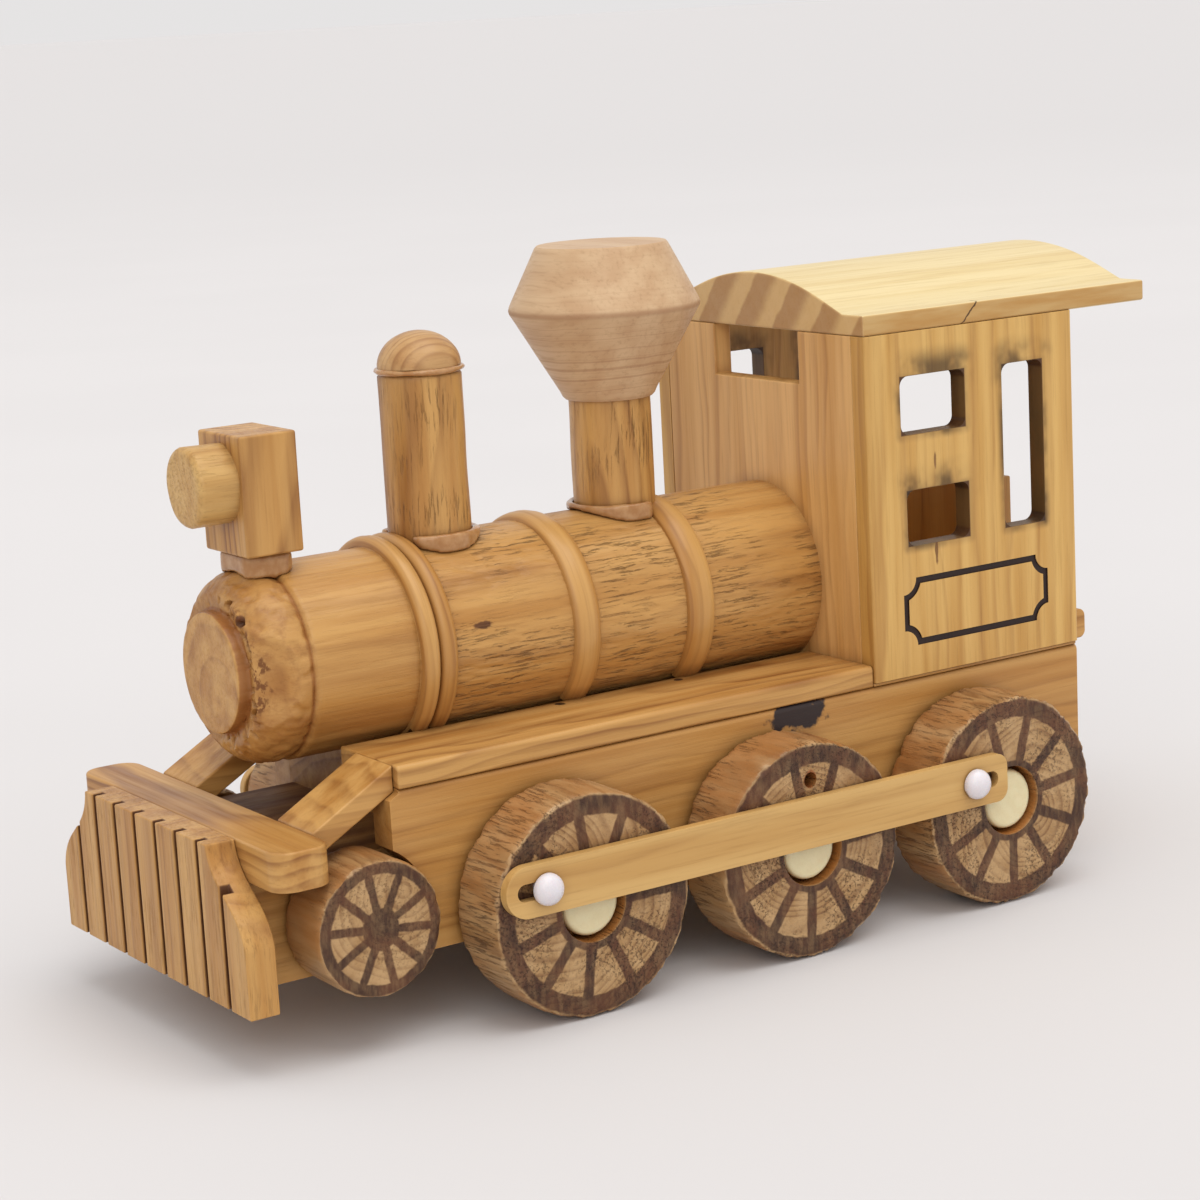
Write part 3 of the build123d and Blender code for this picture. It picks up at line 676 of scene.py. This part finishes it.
def wheel(name, node, side, body, material, bore_r, hub_r, hub_depth, seed, rough, spare=None):
    """A sawn disc: torn tread, chipped rims, drilled hub. Built just inside its CAD solid."""
    lo, hi, centre = low(node), high(node), mid(node)
    radius = (hi.x - lo.x) / 2
    y_in, y_out = sorted((lo.y, hi.y), key=abs)
    thick = abs(y_out - y_in)
    profile = [(bore_r, 0.0), (radius - 1.0, 0.0), (radius - 0.35, 0.2), (radius, 0.9)]
    profile += [(radius, thick - 0.8), (radius - 0.25, thick - 0.25), (radius - 0.8, thick)]
    if hub_r:
        floor = thick - hub_depth
        profile += [(hub_r + 0.35, thick), (hub_r + 0.08, thick - 0.12), (hub_r, thick - 0.4)]
        profile += [(hub_r, floor), (bore_r, floor)]
    else:
        profile += [(bore_r, thick)]
    profile = resample(profile, 0.8)
    turns = 224 if radius > 15 else 160
    rows = []
    for i in range(turns):
        angle = math.tau * i / turns
        ca, sa = math.cos(angle), math.sin(angle)
        row = []
        for r, a in profile:
            if r > radius * 0.93:
                streak = ripple(ca * radius * 0.9, sa * radius * 0.9, a * 0.16, seed)
                lump = ripple(ca * 2.2, sa * 2.2, a * 0.1, seed + 7)
                chip = ripple(ca * radius * 0.35, sa * radius * 0.35, a, seed + 3)
                edge = max(0.0, 1 - min(a, thick - a) / 1.6)
                cut = 0.16 + 0.30 * streak + 0.22 * lump + edge * max(0.0, chip) * 0.9
                dip = max(0.0, cut * rough)
                r = r - dip * (r / radius)
            if r > hub_r + 0.5 and a > thick - 0.05:
                a = a - max(0.0, 0.05 + 0.10 * ripple(r * ca * 0.3, r * sa * 0.3, 0, seed + 11))
            y = y_in + math.copysign(a, side)
            row.append(((centre.x + r * ca) * MM, y * MM, (centre.z + r * sa) * MM))
        rows.append(row)
    bm = grid_solid(rows, True, True)
    if spare:
        bm = drilled(bm, spare, SPARE_R, SPARE_DEPTH, side)
    return show(name, bm, material, body, [node], 38)


def lathe(name, node, material, axis, centre, profile, seed, turns=128, uneven=0.0):
    """Turned piece of the chassis body.

    The profile is (radius, place along the axis) in mm, from one end's centre to the other's.
    """
    dense = resample(profile, 1.0)
    rows = []
    for i in range(turns):
        angle = math.tau * i / turns
        ca, sa = math.cos(angle), math.sin(angle)
        row = []
        for r, a in dense[1:-1]:
            dent = max(0.0, 0.5 + ripple(ca * LOBES * r * 0.3, sa * LOBES * r * 0.3, a * 0.08, seed))
            r -= uneven * dent * min(1.0, r / 3)
            if axis == 0:
                row.append((a * MM, (centre[0] + r * ca) * MM, (centre[1] + r * sa) * MM))
            else:
                row.append(((centre[0] + r * ca) * MM, (centre[1] + r * sa) * MM, a * MM))
        rows.append(row)
    bm = grid_solid(rows, True, False)
    return show(name, bm, material, ROOT, [node], 42)


def melted(node, body, material, seed, voxel=0.4, swell=0.12):
    """A soft bead: the CAD solid with all its edges melted and its surface lumpy."""
    bm = clean_copy(node)
    mesh = bpy.data.meshes.new("bead")
    bm.to_mesh(mesh)
    bm.free()
    piece = bpy.data.objects.new("bead", mesh)
    bpy.context.scene.collection.objects.link(piece)
    remesh = piece.modifiers.new("remesh", "REMESH")
    remesh.mode = "VOXEL"
    remesh.voxel_size = voxel * MM
    soften = piece.modifiers.new("soften", "SMOOTH")
    soften.factor = 0.7
    soften.iterations = 14
    bpy.context.view_layer.update()
    evaluated = piece.evaluated_get(bpy.context.evaluated_depsgraph_get())
    out = bmesh.new()
    out.from_mesh(evaluated.to_mesh())
    evaluated.to_mesh_clear()
    bpy.data.objects.remove(piece)
    out.normal_update()
    for v in out.verts:
        lump = noise.noise(v.co / (3.4 * MM) + Vector((seed, 0, 0)))
        v.co += v.normal * (swell * (0.5 + lump)) * MM
    return show(node.replace("_", "-") + "-bead", out, material, body, [node])


# ---- the object ----

ROOT = "chassis"
SIDES = (("left", 1), ("right", -1))


def chassis():
    # The core's upward faces get painted shade.
    core = wood("core", "X", (9.0, -28.0), 4.2, seed=1.3, contrast=0.9, torn=0.25, gloss=0.0,
                marks=(painted_shade_on_top,))
    timber("chassis_core", ROOT, core, edge=0.8, step=12.0, seed=1.0)
    for side, sign in SIDES:
        stain = ()
        if sign > 0:
            stain = (blot((-15.0, 34.5, 43.4), (7.5, 6.0, 3.6), srgb(30, 26, 34), 0.96, 0.25),)
        frame_wood = wood(f"side_frame_{side}", "X", (sign * 52.0, 78.0), 4.4, seed=2.1 + sign,
                          contrast=0.5, marks=stain)
        timber(f"side_frame_{side}", ROOT, frame_wood, edge=0.5, step=8.0, seed=2.0 + sign)
        nails = tuple(blot((x, sign * NAIL_Y, NAIL_Z), (1.1, 1.1, 0.9), srgb(44, 24, 14), 0.95, 0.25)
                      for x in NAIL_X)
        board_wood = wood(f"running_board_{side}", "X", (sign * 20.0, 20.0), 2.3, seed=4.4 + sign,
                          contrast=1.2, marks=nails)
        timber(f"running_board_{side}", ROOT, board_wood, edge=0.45, step=8.0,
               seed=3.0 + sign)
        brace_wood = wood(f"brace_{side}", "X", (sign * 24.0, 12.0), 2.8, seed=6.1 + sign, contrast=0.75)
        timber(f"brace_{side}", ROOT, brace_wood, edge=0.4, step=4.0, seed=4.0 + sign)
    beam = wood("beam", "Y", (10.0, 95.0), 2.8, seed=5.2, contrast=1.1)
    timber("buffer_beam", ROOT, beam, edge=0.6, axis=1, step=6.0, seed=5.0)
    plate_hi = high("cowcatcher")
    slats = wood("slats", "Z", (104.0, 26.0), 3.6, seed=8.8, contrast=0.6, torn=0.35, marks=(
        sawn_grooves(plate_hi.x, SAW_PITCH, SAW_WIDTH, SAW_DEPTH),))
    timber("cowcatcher", ROOT, slats, edge=0.35, axis=2, step=4.0, uneven=0.1,
           seed=6.0, lock=(0, 2))


def boiler():
    """Log with torn grain, a rounded front rim with one pared flat, and a round door."""
    lo, hi = low("boiler"), high("boiler")
    radius = (hi.y - lo.y) / 2
    axis_z = (hi.z + lo.z) / 2
    smoke_rear, smoke_front = SMOKEBOX
    smoke_r = radius - 0.6
    door_r, face_x, face_r = DOOR_R, hi.x - DOOR_PROUD, FACE_R
    profile = [(lo.x, radius), (smoke_rear - 0.3, radius), (smoke_rear, smoke_r),
               (smoke_front - 0.35, smoke_r), (smoke_front, smoke_r - 0.25),
               (smoke_front + 0.5, smoke_r - 0.75)]
    profile = resample(profile, 0.7)
    profile += arc_through(profile[-1], RIM_CREST, (face_x, face_r), 26)[1:]
    profile += resample([(face_x, face_r), (face_x - 0.15, door_r + 0.35), (face_x + 0.1, door_r + 0.05),
                         (hi.x - 0.5, door_r), (hi.x - 0.12, door_r - 0.15), (hi.x, door_r - 0.55),
                         (hi.x, 0.4)], 0.45)[1:]
    flat = Vector((math.cos(FACET_TURN), math.sin(FACET_TURN), 0))
    flat_reach = flat.dot(Vector((*FACET_POINT, 0)))
    turns = 360
    rows = []
    for i in range(turns):
        angle = math.tau * i / turns
        ca, sa = math.cos(angle), math.sin(angle)
        row = []
        for x, r in profile:
            tear = ripple(x * 0.30, ca * r * 1.1, sa * r * 1.1, 3.3)
            patch = ripple(x * 0.05, ca * r * 0.12, sa * r * 0.12, 8.0)
            lump = ripple(x * 0.03, ca * 1.4, sa * 1.4, 5.0)
            dip = 0.08 + 0.10 * lump + max(0.0, tear) * 0.34 * max(0.0, 0.55 + patch)
            sink = 0.0
            if x > smoke_rear:
                dip *= 0.4
            if x > smoke_front and r > door_r + 0.2:
                ragged = max(0.0, ripple(ca * r * 0.45, sa * r * 0.45, x * 0.4, 21.0))
                dip += 0.9 * ragged
                pits = max(0.0, ripple(ca * r * 0.8, sa * r * 0.8, x * 0.5, 31.0) - 0.1)
                left_side = max(0.0, min(1.0, (ca + 0.35) / 0.7))
                sink = 4.2 * pits * left_side * max(0.0, 1 - abs(r - 13.4) / 2.4)
            if r > 1:
                r -= max(0.0, dip) * min(1.0, r / 6)
            point = Vector((x - sink, ca * r, sa * r))
            over = point.dot(flat) - flat_reach
            if over > 0 and r > door_r + 0.6 and x < hi.x - 0.6:
                point -= flat * over
            row.append((point.x * MM, point.y * MM, (point.z + axis_z) * MM))
        rows.append(row)
    bm = grid_solid(rows, True, False)
    knot = srgb(84, 46, 22)
    logwood = wood("log", "X", (3.0, axis_z - 5.0), 4.4, seed=7.7, contrast=0.55, torn=0.9,
                   relief=0.16, torn_to=smoke_rear, marks=(
        rough_rim(smoke_front, face_x, door_r, axis_z),
        blot((face_x - 0.5, 8.6, axis_z + 10.2), (2.0, 1.5, 1.5), knot, 0.9),
        blot((45.0, 18.5, 68.5), (2.6, 2.0, 0.9), knot, 0.9),
        torn_chain(axis_z, face_x),
    ))
    show("boiler-log", bm, logwood, ROOT, ["boiler"], 50)


def arc_through(a, b, c, steps):
    """Points on the circle through three (x, r) points, from the first to the last."""
    ax, ay, bx, by, cx, cy = *a, *b, *c
    d = 2 * (ax * (by - cy) + bx * (cy - ay) + cx * (ay - by))
    aa, bb, cc = ax * ax + ay * ay, bx * bx + by * by, cx * cx + cy * cy
    ux = (aa * (by - cy) + bb * (cy - ay) + cc * (ay - by)) / d
    uy = (aa * (cx - bx) + bb * (ax - cx) + cc * (bx - ax)) / d
    radius = math.hypot(ax - ux, ay - uy)
    start = math.atan2(ay - uy, ax - ux)
    end = math.atan2(cy - uy, cx - ux)
    return [(ux + radius * math.cos(start + (end - start) * t / steps),
             uy + radius * math.sin(start + (end - start) * t / steps)) for t in range(steps + 1)]


def torn_chain(axis_z, face_x):
    """Dark torn fibres in a broken chain down the left of the rim, beside the door."""
    def mark(g, place):
        x, y, z = g.split(place)
        dz = g.sub(z, axis_z)
        reach = g.hypot(y, dz)
        wander = g.noise(g.scaled(place, 0.2, 0.3, 0.3), 1.0, 3.0)
        off = g.size(g.mul_add(g.sub(wander, 0.5), 5.0, g.sub(reach, 13.8)))
        crumbs = g.noise(g.scaled(place, 0.9, 1.1, 0.7), 1.0, 3.0, 0.6)
        left = g.mul(g.span(y, 3.0, 8.0), g.span(dz, -9.0, -5.0))
        mask = g.mul(g.mul(g.span(off, 1.1, 0.4), g.span(crumbs, 0.46, 0.58)), left)
        mask = g.mul(mask, g.span(x, face_x - 8.0, face_x - 6.0))
        return g.mul(mask, 0.85), srgb(104, 56, 20), 0.7
    return mark


def rough_rim(rear_x, face_x, door_r, axis_z):
    """Darker varnish soaked into the torn end grain of the rim, and into the wall of the door."""
    def mark(g, place):
        x, y, z = g.split(place)
        dz = g.sub(z, axis_z)
        reach = g.hypot(y, dz)
        ragged = g.noise(g.scaled(place, 0.35, 0.35, 0.35), 1.0, 4.0, 0.65)
        on_rim = g.mul(g.span(x, rear_x + 0.1, rear_x + 0.7), g.span(reach, door_r - 0.2, door_r + 0.4))
        soaked = g.mul(on_rim, g.span(ragged, 0.45, 0.72, 0.12, 0.5))
        wall = g.mul(g.span(reach, door_r - 0.25, door_r - 0.05), g.span(reach, door_r + 1.0, door_r + 0.5))
        wall = g.mul(wall, g.span(x, face_x - 0.6, face_x - 0.2))
        groove = g.mul(g.span(x, rear_x + 0.1, rear_x + 0.5), g.span(x, rear_x + 1.6, rear_x + 0.8))
        mask = g.most(soaked, g.most(g.mul(wall, 0.75), g.mul(groove, 0.6)))
        return mask, g.mix(ragged, srgb(150, 84, 30), srgb(122, 74, 38)), 0.5
    return mark


def band(node, seed):
    """Half-round strip bent over the boiler."""
    lo, hi, centre = low(node), high(node), mid(node)
    log = mid("boiler")
    base_r = (high("boiler").y - low("boiler").y) / 2 - 0.4
    crown = (hi.y - lo.y) / 2 - base_r
    half = (hi.x - lo.x) / 2
    foot = math.asin((log.z - lo.z) / (base_r + crown * 0.5))
    turns = 120
    section = [(math.cos(math.pi * k / 12), math.sin(math.pi * k / 12)) for k in range(13)]
    rows = []
    for i in range(turns + 1):
        angle = -foot + (math.pi + 2 * foot) * i / turns
        ca, sa = math.cos(angle), math.sin(angle)
        sway = 0.25 * ripple(ca * 1.5, sa * 1.5, 0, seed)
        row = []
        for s, h in section:
            fine = 0.10 * ripple(ca * 8, sa * 8, s, seed + 2)
            r = base_r + (crown - 0.08) * (h ** 0.75) - max(0.0, fine) * h
            x = centre.x + s * half * 0.98 + sway * (1 - abs(s))
            row.append((x * MM, r * ca * MM, (log.z + r * sa) * MM))
        rows.append(row)
    bm = grid_solid(rows, False, True)
    for end in (0, -1):
        ring = bm.verts[:][:13] if end == 0 else bm.verts[:][-13:]
        bm.faces.new(ring)
    grain = wood(f"band_{seed:.0f}", "Y", (base_r - 9.0, centre.x + 14.0), 3.2, seed=seed,
                 contrast=0.55, gloss=0.45, relief=0.06, bent_at=(log.z, base_r))
    show(node.replace("_", "-") + "-strip", bm, grain, ROOT, [node], 60)


def fittings():
    for index in range(1, 5):
        band(f"boiler_band_{index}", 10.0 + 3 * index)
    dome_lo, dome_hi, dome = low("dome_post"), high("dome_post"), mid("dome_post")
    r = (dome_hi.x - dome_lo.x) / 2
    post_wood = wood("tower", "Z", (dome.x - 3.0, 2.0), 2.6, seed=12.5, torn=0.7, contrast=0.9)
    lathe("dome-post-dowel", "dome_post", post_wood, 2, (dome.x, 0.0), (
        (0, dome_lo.z), (r, dome_lo.z), (r, dome_hi.z - 0.5), (r - 0.4, dome_hi.z),
        (0, dome_hi.z)), 2.0, uneven=0.18)
    cap_lo, cap_hi = low("dome_cap"), high("dome_cap")
    cap_h = cap_hi.z - cap_lo.z
    cap_profile = [(0, cap_lo.z)]
    for step in range(14):
        turn = step * math.pi / 28
        cap_profile.append((r * math.cos(turn), cap_lo.z + cap_h * math.sin(turn)))
    cap_profile.append((0, cap_hi.z))
    cap_wood = wood("tower_cap", "X", (30.0, cap_lo.z - 6.0), 2.4, colours=CAP, seed=14.0)
    lathe("dome-cap-turned", "dome_cap", cap_wood, 2, (dome.x, 0.0), cap_profile,
          3.0, uneven=0.15)
    stack_lo, stack_hi, stack = low("stack_post"), high("stack_post"), mid("stack_post")
    r = (stack_hi.x - stack_lo.x) / 2
    stem_wood = wood("stem", "Z", (stack.x + 4.0, 3.0), 2.4, seed=16.5, torn=0.9, contrast=1.0)
    lathe("stack-post-dowel", "stack_post", stem_wood, 2, (stack.x, 0.0), (
        (0, stack_lo.z), (r, stack_lo.z), (r, stack_hi.z), (0, stack_hi.z)), 4.0, uneven=0.18)
    cone_lo, cone_hi = low("stack_cap"), high("stack_cap")
    wide = (cone_hi.x - cone_lo.x) / 2
    raw = wood("stack_cap_raw", "Y", (cone_lo.z - 60.0, stack.x + 12.0), 5.5, colours=RAW, seed=18.0,
               contrast=0.16, gloss=0.0, relief=0.05, marks=(turning_lines(cone_lo.z),))
    lathe("stack-cap-turned", "stack_cap", raw, 2, (stack.x, 0.0), (
        (0, cone_lo.z), (8.6, cone_lo.z), (9.1, cone_lo.z + 0.5), (9.5, cone_lo.z + 1.4),
        (wide - 0.7, STACK_RIM_Z - 1.5), (wide - 0.15, STACK_RIM_Z - 0.6), (wide, STACK_RIM_Z),
        (wide - 0.2, STACK_RIM_Z + 0.8), (13.0, cone_hi.z - 0.4), (12.6, cone_hi.z),
        (0, cone_hi.z)), 5.0, turns=192, uneven=0.04)
    lamp_wood = wood("lamp", "Z", (70.0, -30.0), 2.6, colours=HONEY, seed=20.0, contrast=1.25)
    timber("lamp_block", ROOT, lamp_wood, edge=0.5, axis=2, step=4.0, seed=7.0)
    lens_lo, lens_hi = low("lamp_lens"), high("lamp_lens")
    lens = mid("lamp_lens")
    lens_r = (lens_hi.y - lens_lo.y) / 2
    lens_wood = wood("lens", "X", (26.0, lens.z + 9.0), 2.6, colours=STICK, seed=22.0, contrast=0.6,
                     torn=0.3)
    lathe("lamp-lens-dowel", "lamp_lens", lens_wood, 0, (0.0, lens.z), (
        (0, lens_lo.x), (lens_r, lens_lo.x), (lens_r, lens_hi.x - 1.0), (lens_r - 0.3, lens_hi.x - 0.35),
        (lens_r - 1.0, lens_hi.x), (0, lens_hi.x)), 6.0, uneven=0.2)
    glue = plastic("dried_glue", srgb(184, 142, 96), srgb(166, 118, 70), 0.12, 0.3)
    for seed, node in enumerate(("lamp_glue", "dome_cap_glue", "dome_base_glue", "stack_base_glue")):
        melted(node, ROOT, glue, 3.0 + seed)


WINDOWS = (
    (-58.9, -42.5, 94.3, 105.8),
    (-59.3, -43.4, 72.2, 83.3),
    (-79.3, -68.6, 72.5, 105.5),
)
PLATE = (-79.6, -41.8, 52.3, 65.9)


def in_plate(edge):
    for v in edge.verts:
        x, z = v.co.x / MM, v.co.z / MM
        if not (PLATE[0] - 0.5 < x < PLATE[1] + 0.5 and PLATE[2] - 0.5 < z < PLATE[3] + 0.5):
            return False
    return True


def cab():
    for side, sign in SIDES:
        surface = max(abs(low(f"cab_side_{side}").y), abs(high(f"cab_side_{side}").y))
        panel = wood(f"cab_side_{side}", "Z", (-20.0, sign * 60.0), 4.6, colours=CAB_SIDE,
                     seed=24.0 + sign, contrast=0.7, marks=(
            scorched_windows(WINDOWS), burnt_plate(PLATE, surface, sign),
            blot((-50.5, sign * surface, 70.2), (0.5, 2.0, 2.6), srgb(96, 56, 26), 0.8, 0.4),
            blot((-50.8, sign * surface, 88.5), (0.4, 2.0, 2.2), srgb(96, 56, 26), 0.7, 0.4)))
        timber(f"cab_side_{side}", ROOT, panel, edge=0.4, step=0, seed=8.0 + sign,
               uneven=0.0, keep=in_plate)
    front = wood("cab_front_wood", "Z", (40.0, -95.0), 3.4, colours=FRONT, seed=27.0, contrast=0.7)
    timber("cab_front", ROOT, front, edge=0.35, axis=2, step=0, uneven=0.0, seed=9.0)
    floor = wood("cab_floor_wood", "X", (20.0, 30.0), 3.0, seed=29.0)
    timber("cab_floor", ROOT, floor, edge=0.3, step=8.0, seed=10.0)
    back = wood("cab_back_wood", "Z", (-60.0, 10.0), 2.8, seed=31.0, contrast=1.1)
    timber("cab_back_board", ROOT, back, edge=0.4, axis=2, step=6.0, seed=11.0)
    eave = high("cab_roof")
    roof = wood("roof_wood", "X", (-70.0, 75.0), 6.2, colours=PALE, seed=33.0, contrast=0.36, marks=(
        eave_stain, end_stripes, crack((-61.0, eave.y, 116.6), 1.0, 2.4, 0.35)))
    timber("cab_roof", ROOT, roof, edge=0.5, step=9.0, uneven=0.15, seed=12.0, lock=(0, 2))


def running_gear():
    ivory = plastic("ivory", srgb(226, 214, 174), srgb(222, 208, 166), 0.25, 0.3)
    white = plastic("white_pin", srgb(224, 219, 223), srgb(221, 215, 219), 0.22, 0.2)
    bm = clean_copy("axle_pegs")
    round_edges(bm, 0.25, 2)
    show("axle-pegs-moulded", bm, ivory, ROOT, ["axle_pegs"], 35)
    places = ("front", "middle", "rear")
    for side, sign in SIDES:
        for index, place in enumerate(places):
            node = f"driver_{place}_{side}"
            body = f"{place}_{side}"
            centre = mid(node)
            face = max(abs(low(node).y), abs(high(node).y))
            seed = 40.0 + 5 * index + 20 * sign
            spare = (centre.x, sign * face, centre.z + SPARE_RISE)
            pith = (centre.z + 7.0 - 5 * index, centre.x + 10.0 - 8 * index)
            disc = wood(node + "_wood", "Y", pith, 1.6, colours=WHEEL, seed=seed, torn=0.9,
                        contrast=1.0, relief=0.16, marks=(
                tread_stain, spoked(centre, sign, face, 21.0, 11, 2.2, 0.39, 0.13 * index),
                bored(centre, HUB_R, face - 0.1, sign),
                blot(spare, (1.9, 9.0, 1.9), srgb(140, 76, 34), 0.8 if place == "middle" else 0.0, 0.3)))
            wheel(f"driver-{place}-{side}-disc", node, sign, body, disc, PEG_BORE_R, HUB_R, HUB_DEPTH, seed,
                  1.0 + 0.25 * index, spare if place == "middle" else None)
        for place in ("front", "rear"):
            pin = f"crank_pin_{place}_{side}"
            bm = clean_copy(pin)
            show(f"crank-pin-{place}-{side}-cap", bm, white, f"{place}_{side}", [pin], 30)
        rod_wood = wood(f"rod_{side}", "X", (sign * 90.0, 60.0), 5.0, colours=STICK, seed=60.0 + sign,
                        contrast=0.45, relief=0.04)
        bm = clean_copy(f"side_rod_{side}")
        round_edges(bm, 0.35, 3)
        show(f"side-rod-{side}-stick", bm, rod_wood, f"rod_{side}", [f"side_rod_{side}"], 35)
        node = f"pony_wheel_{side}"
        centre = mid(node)
        face = max(abs(low(node).y), abs(high(node).y))
        disc = wood(node + "_wood", "Y", (centre.z + 6.0, centre.x - 5.0), 1.7, colours=WHEEL,
                    seed=70.0 + sign, torn=0.5, contrast=0.9,
                    marks=(tread_stain, spoked(centre, sign, face, 12.5, 10, 1.6, 0.30, 0.3)))
        wheel(f"pony-wheel-{side}-disc", node, sign, "pony_wheelset", disc, 0.02, 0, 0, 70.0 + sign, 0.7)
    axle = wood("pony_axle_wood", "Y", (20.0, 80.0), 1.6, colours=RAW, seed=77.0)
    bm = clean_copy("pony_axle")
    round_edges(bm, 0.2, 2)
    show("pony-axle-dowel", bm, axle, "pony_wheelset", ["pony_axle"], 35)


# ---- stage, light and camera ----

def stage():
    g = Graph("paper")
    place = g.place()
    soft = g.noise(g.scaled(place, 0.004, 0.004, 0.004), 1.0, 2.0)
    near = g.mix(g.span(soft, 0.3, 0.7), srgb(214, 212, 212), srgb(212, 210, 210))
    x, y, _ = g.split(place)
    reach = g.hypot(x, y)
    g.finish(g.mix(g.span(reach, 400.0, 3500.0), near, srgb(206, 204, 204)), 0.9)
    bpy.ops.mesh.primitive_plane_add(size=400.0, location=(0, 0, 0))
    floor = bpy.context.object
    floor.name = "floor"
    floor.data.materials.append(g.material)
    world = bpy.data.worlds.new("studio")
    bpy.context.scene.world = world
    world.use_nodes = True
    world.node_tree.nodes["Background"].inputs[0].default_value = (0.985, 0.968, 0.966, 1)
    world.node_tree.nodes["Background"].inputs[1].default_value = 0.80


def sun(name, toward, strength, spread, colour):
    """Light from one direction, spread over a wide angle like a large soft box."""
    light = bpy.data.lights.new(name, "SUN")
    light.energy = strength
    light.angle = math.radians(spread)
    light.color = colour
    holder = bpy.data.objects.new(name, light)
    holder.rotation_euler = Vector(toward).to_track_quat("Z", "Y").to_euler()
    bpy.context.scene.collection.objects.link(holder)


def lights():
    sun("overhead", (-0.10, 0.25, 0.96), 1.30, 50.0, (1.0, 0.985, 0.965))
    sun("key", (0.45, 0.55, 0.45), 0.55, 40.0, (1.0, 0.98, 0.95))


def camera():
    """Viewpoint of a product shot: three-quarter front, slightly above, tipped a little."""
    place = Vector((0.3206, 0.4774, 0.1786))
    back = Vector((0.5388, 0.8194, 0.1955)).normalized()
    roll = math.radians(-3.122)
    ahead = -back
    right = ahead.cross(Vector((0, 0, 1))).normalized()
    up = right.cross(ahead)
    across = right * math.cos(roll) + up * math.sin(roll)
    upward = up * math.cos(roll) - right * math.sin(roll)
    data = bpy.data.cameras.new("camera")
    data.lens = 88.65
    data.sensor_width = 36.0
    data.clip_start = 0.01
    data.clip_end = 200.0
    holder = bpy.data.objects.new("camera", data)
    rotation = Matrix((across, upward, back)).transposed()
    holder.matrix_world = Matrix.Translation(place) @ rotation.to_4x4()
    bpy.context.scene.collection.objects.link(holder)
    bpy.context.scene.camera = holder


chassis()
boiler()
fittings()
cab()
running_gear()
stage()
lights()
camera()
bpy.context.scene.view_settings.view_transform = "Standard"
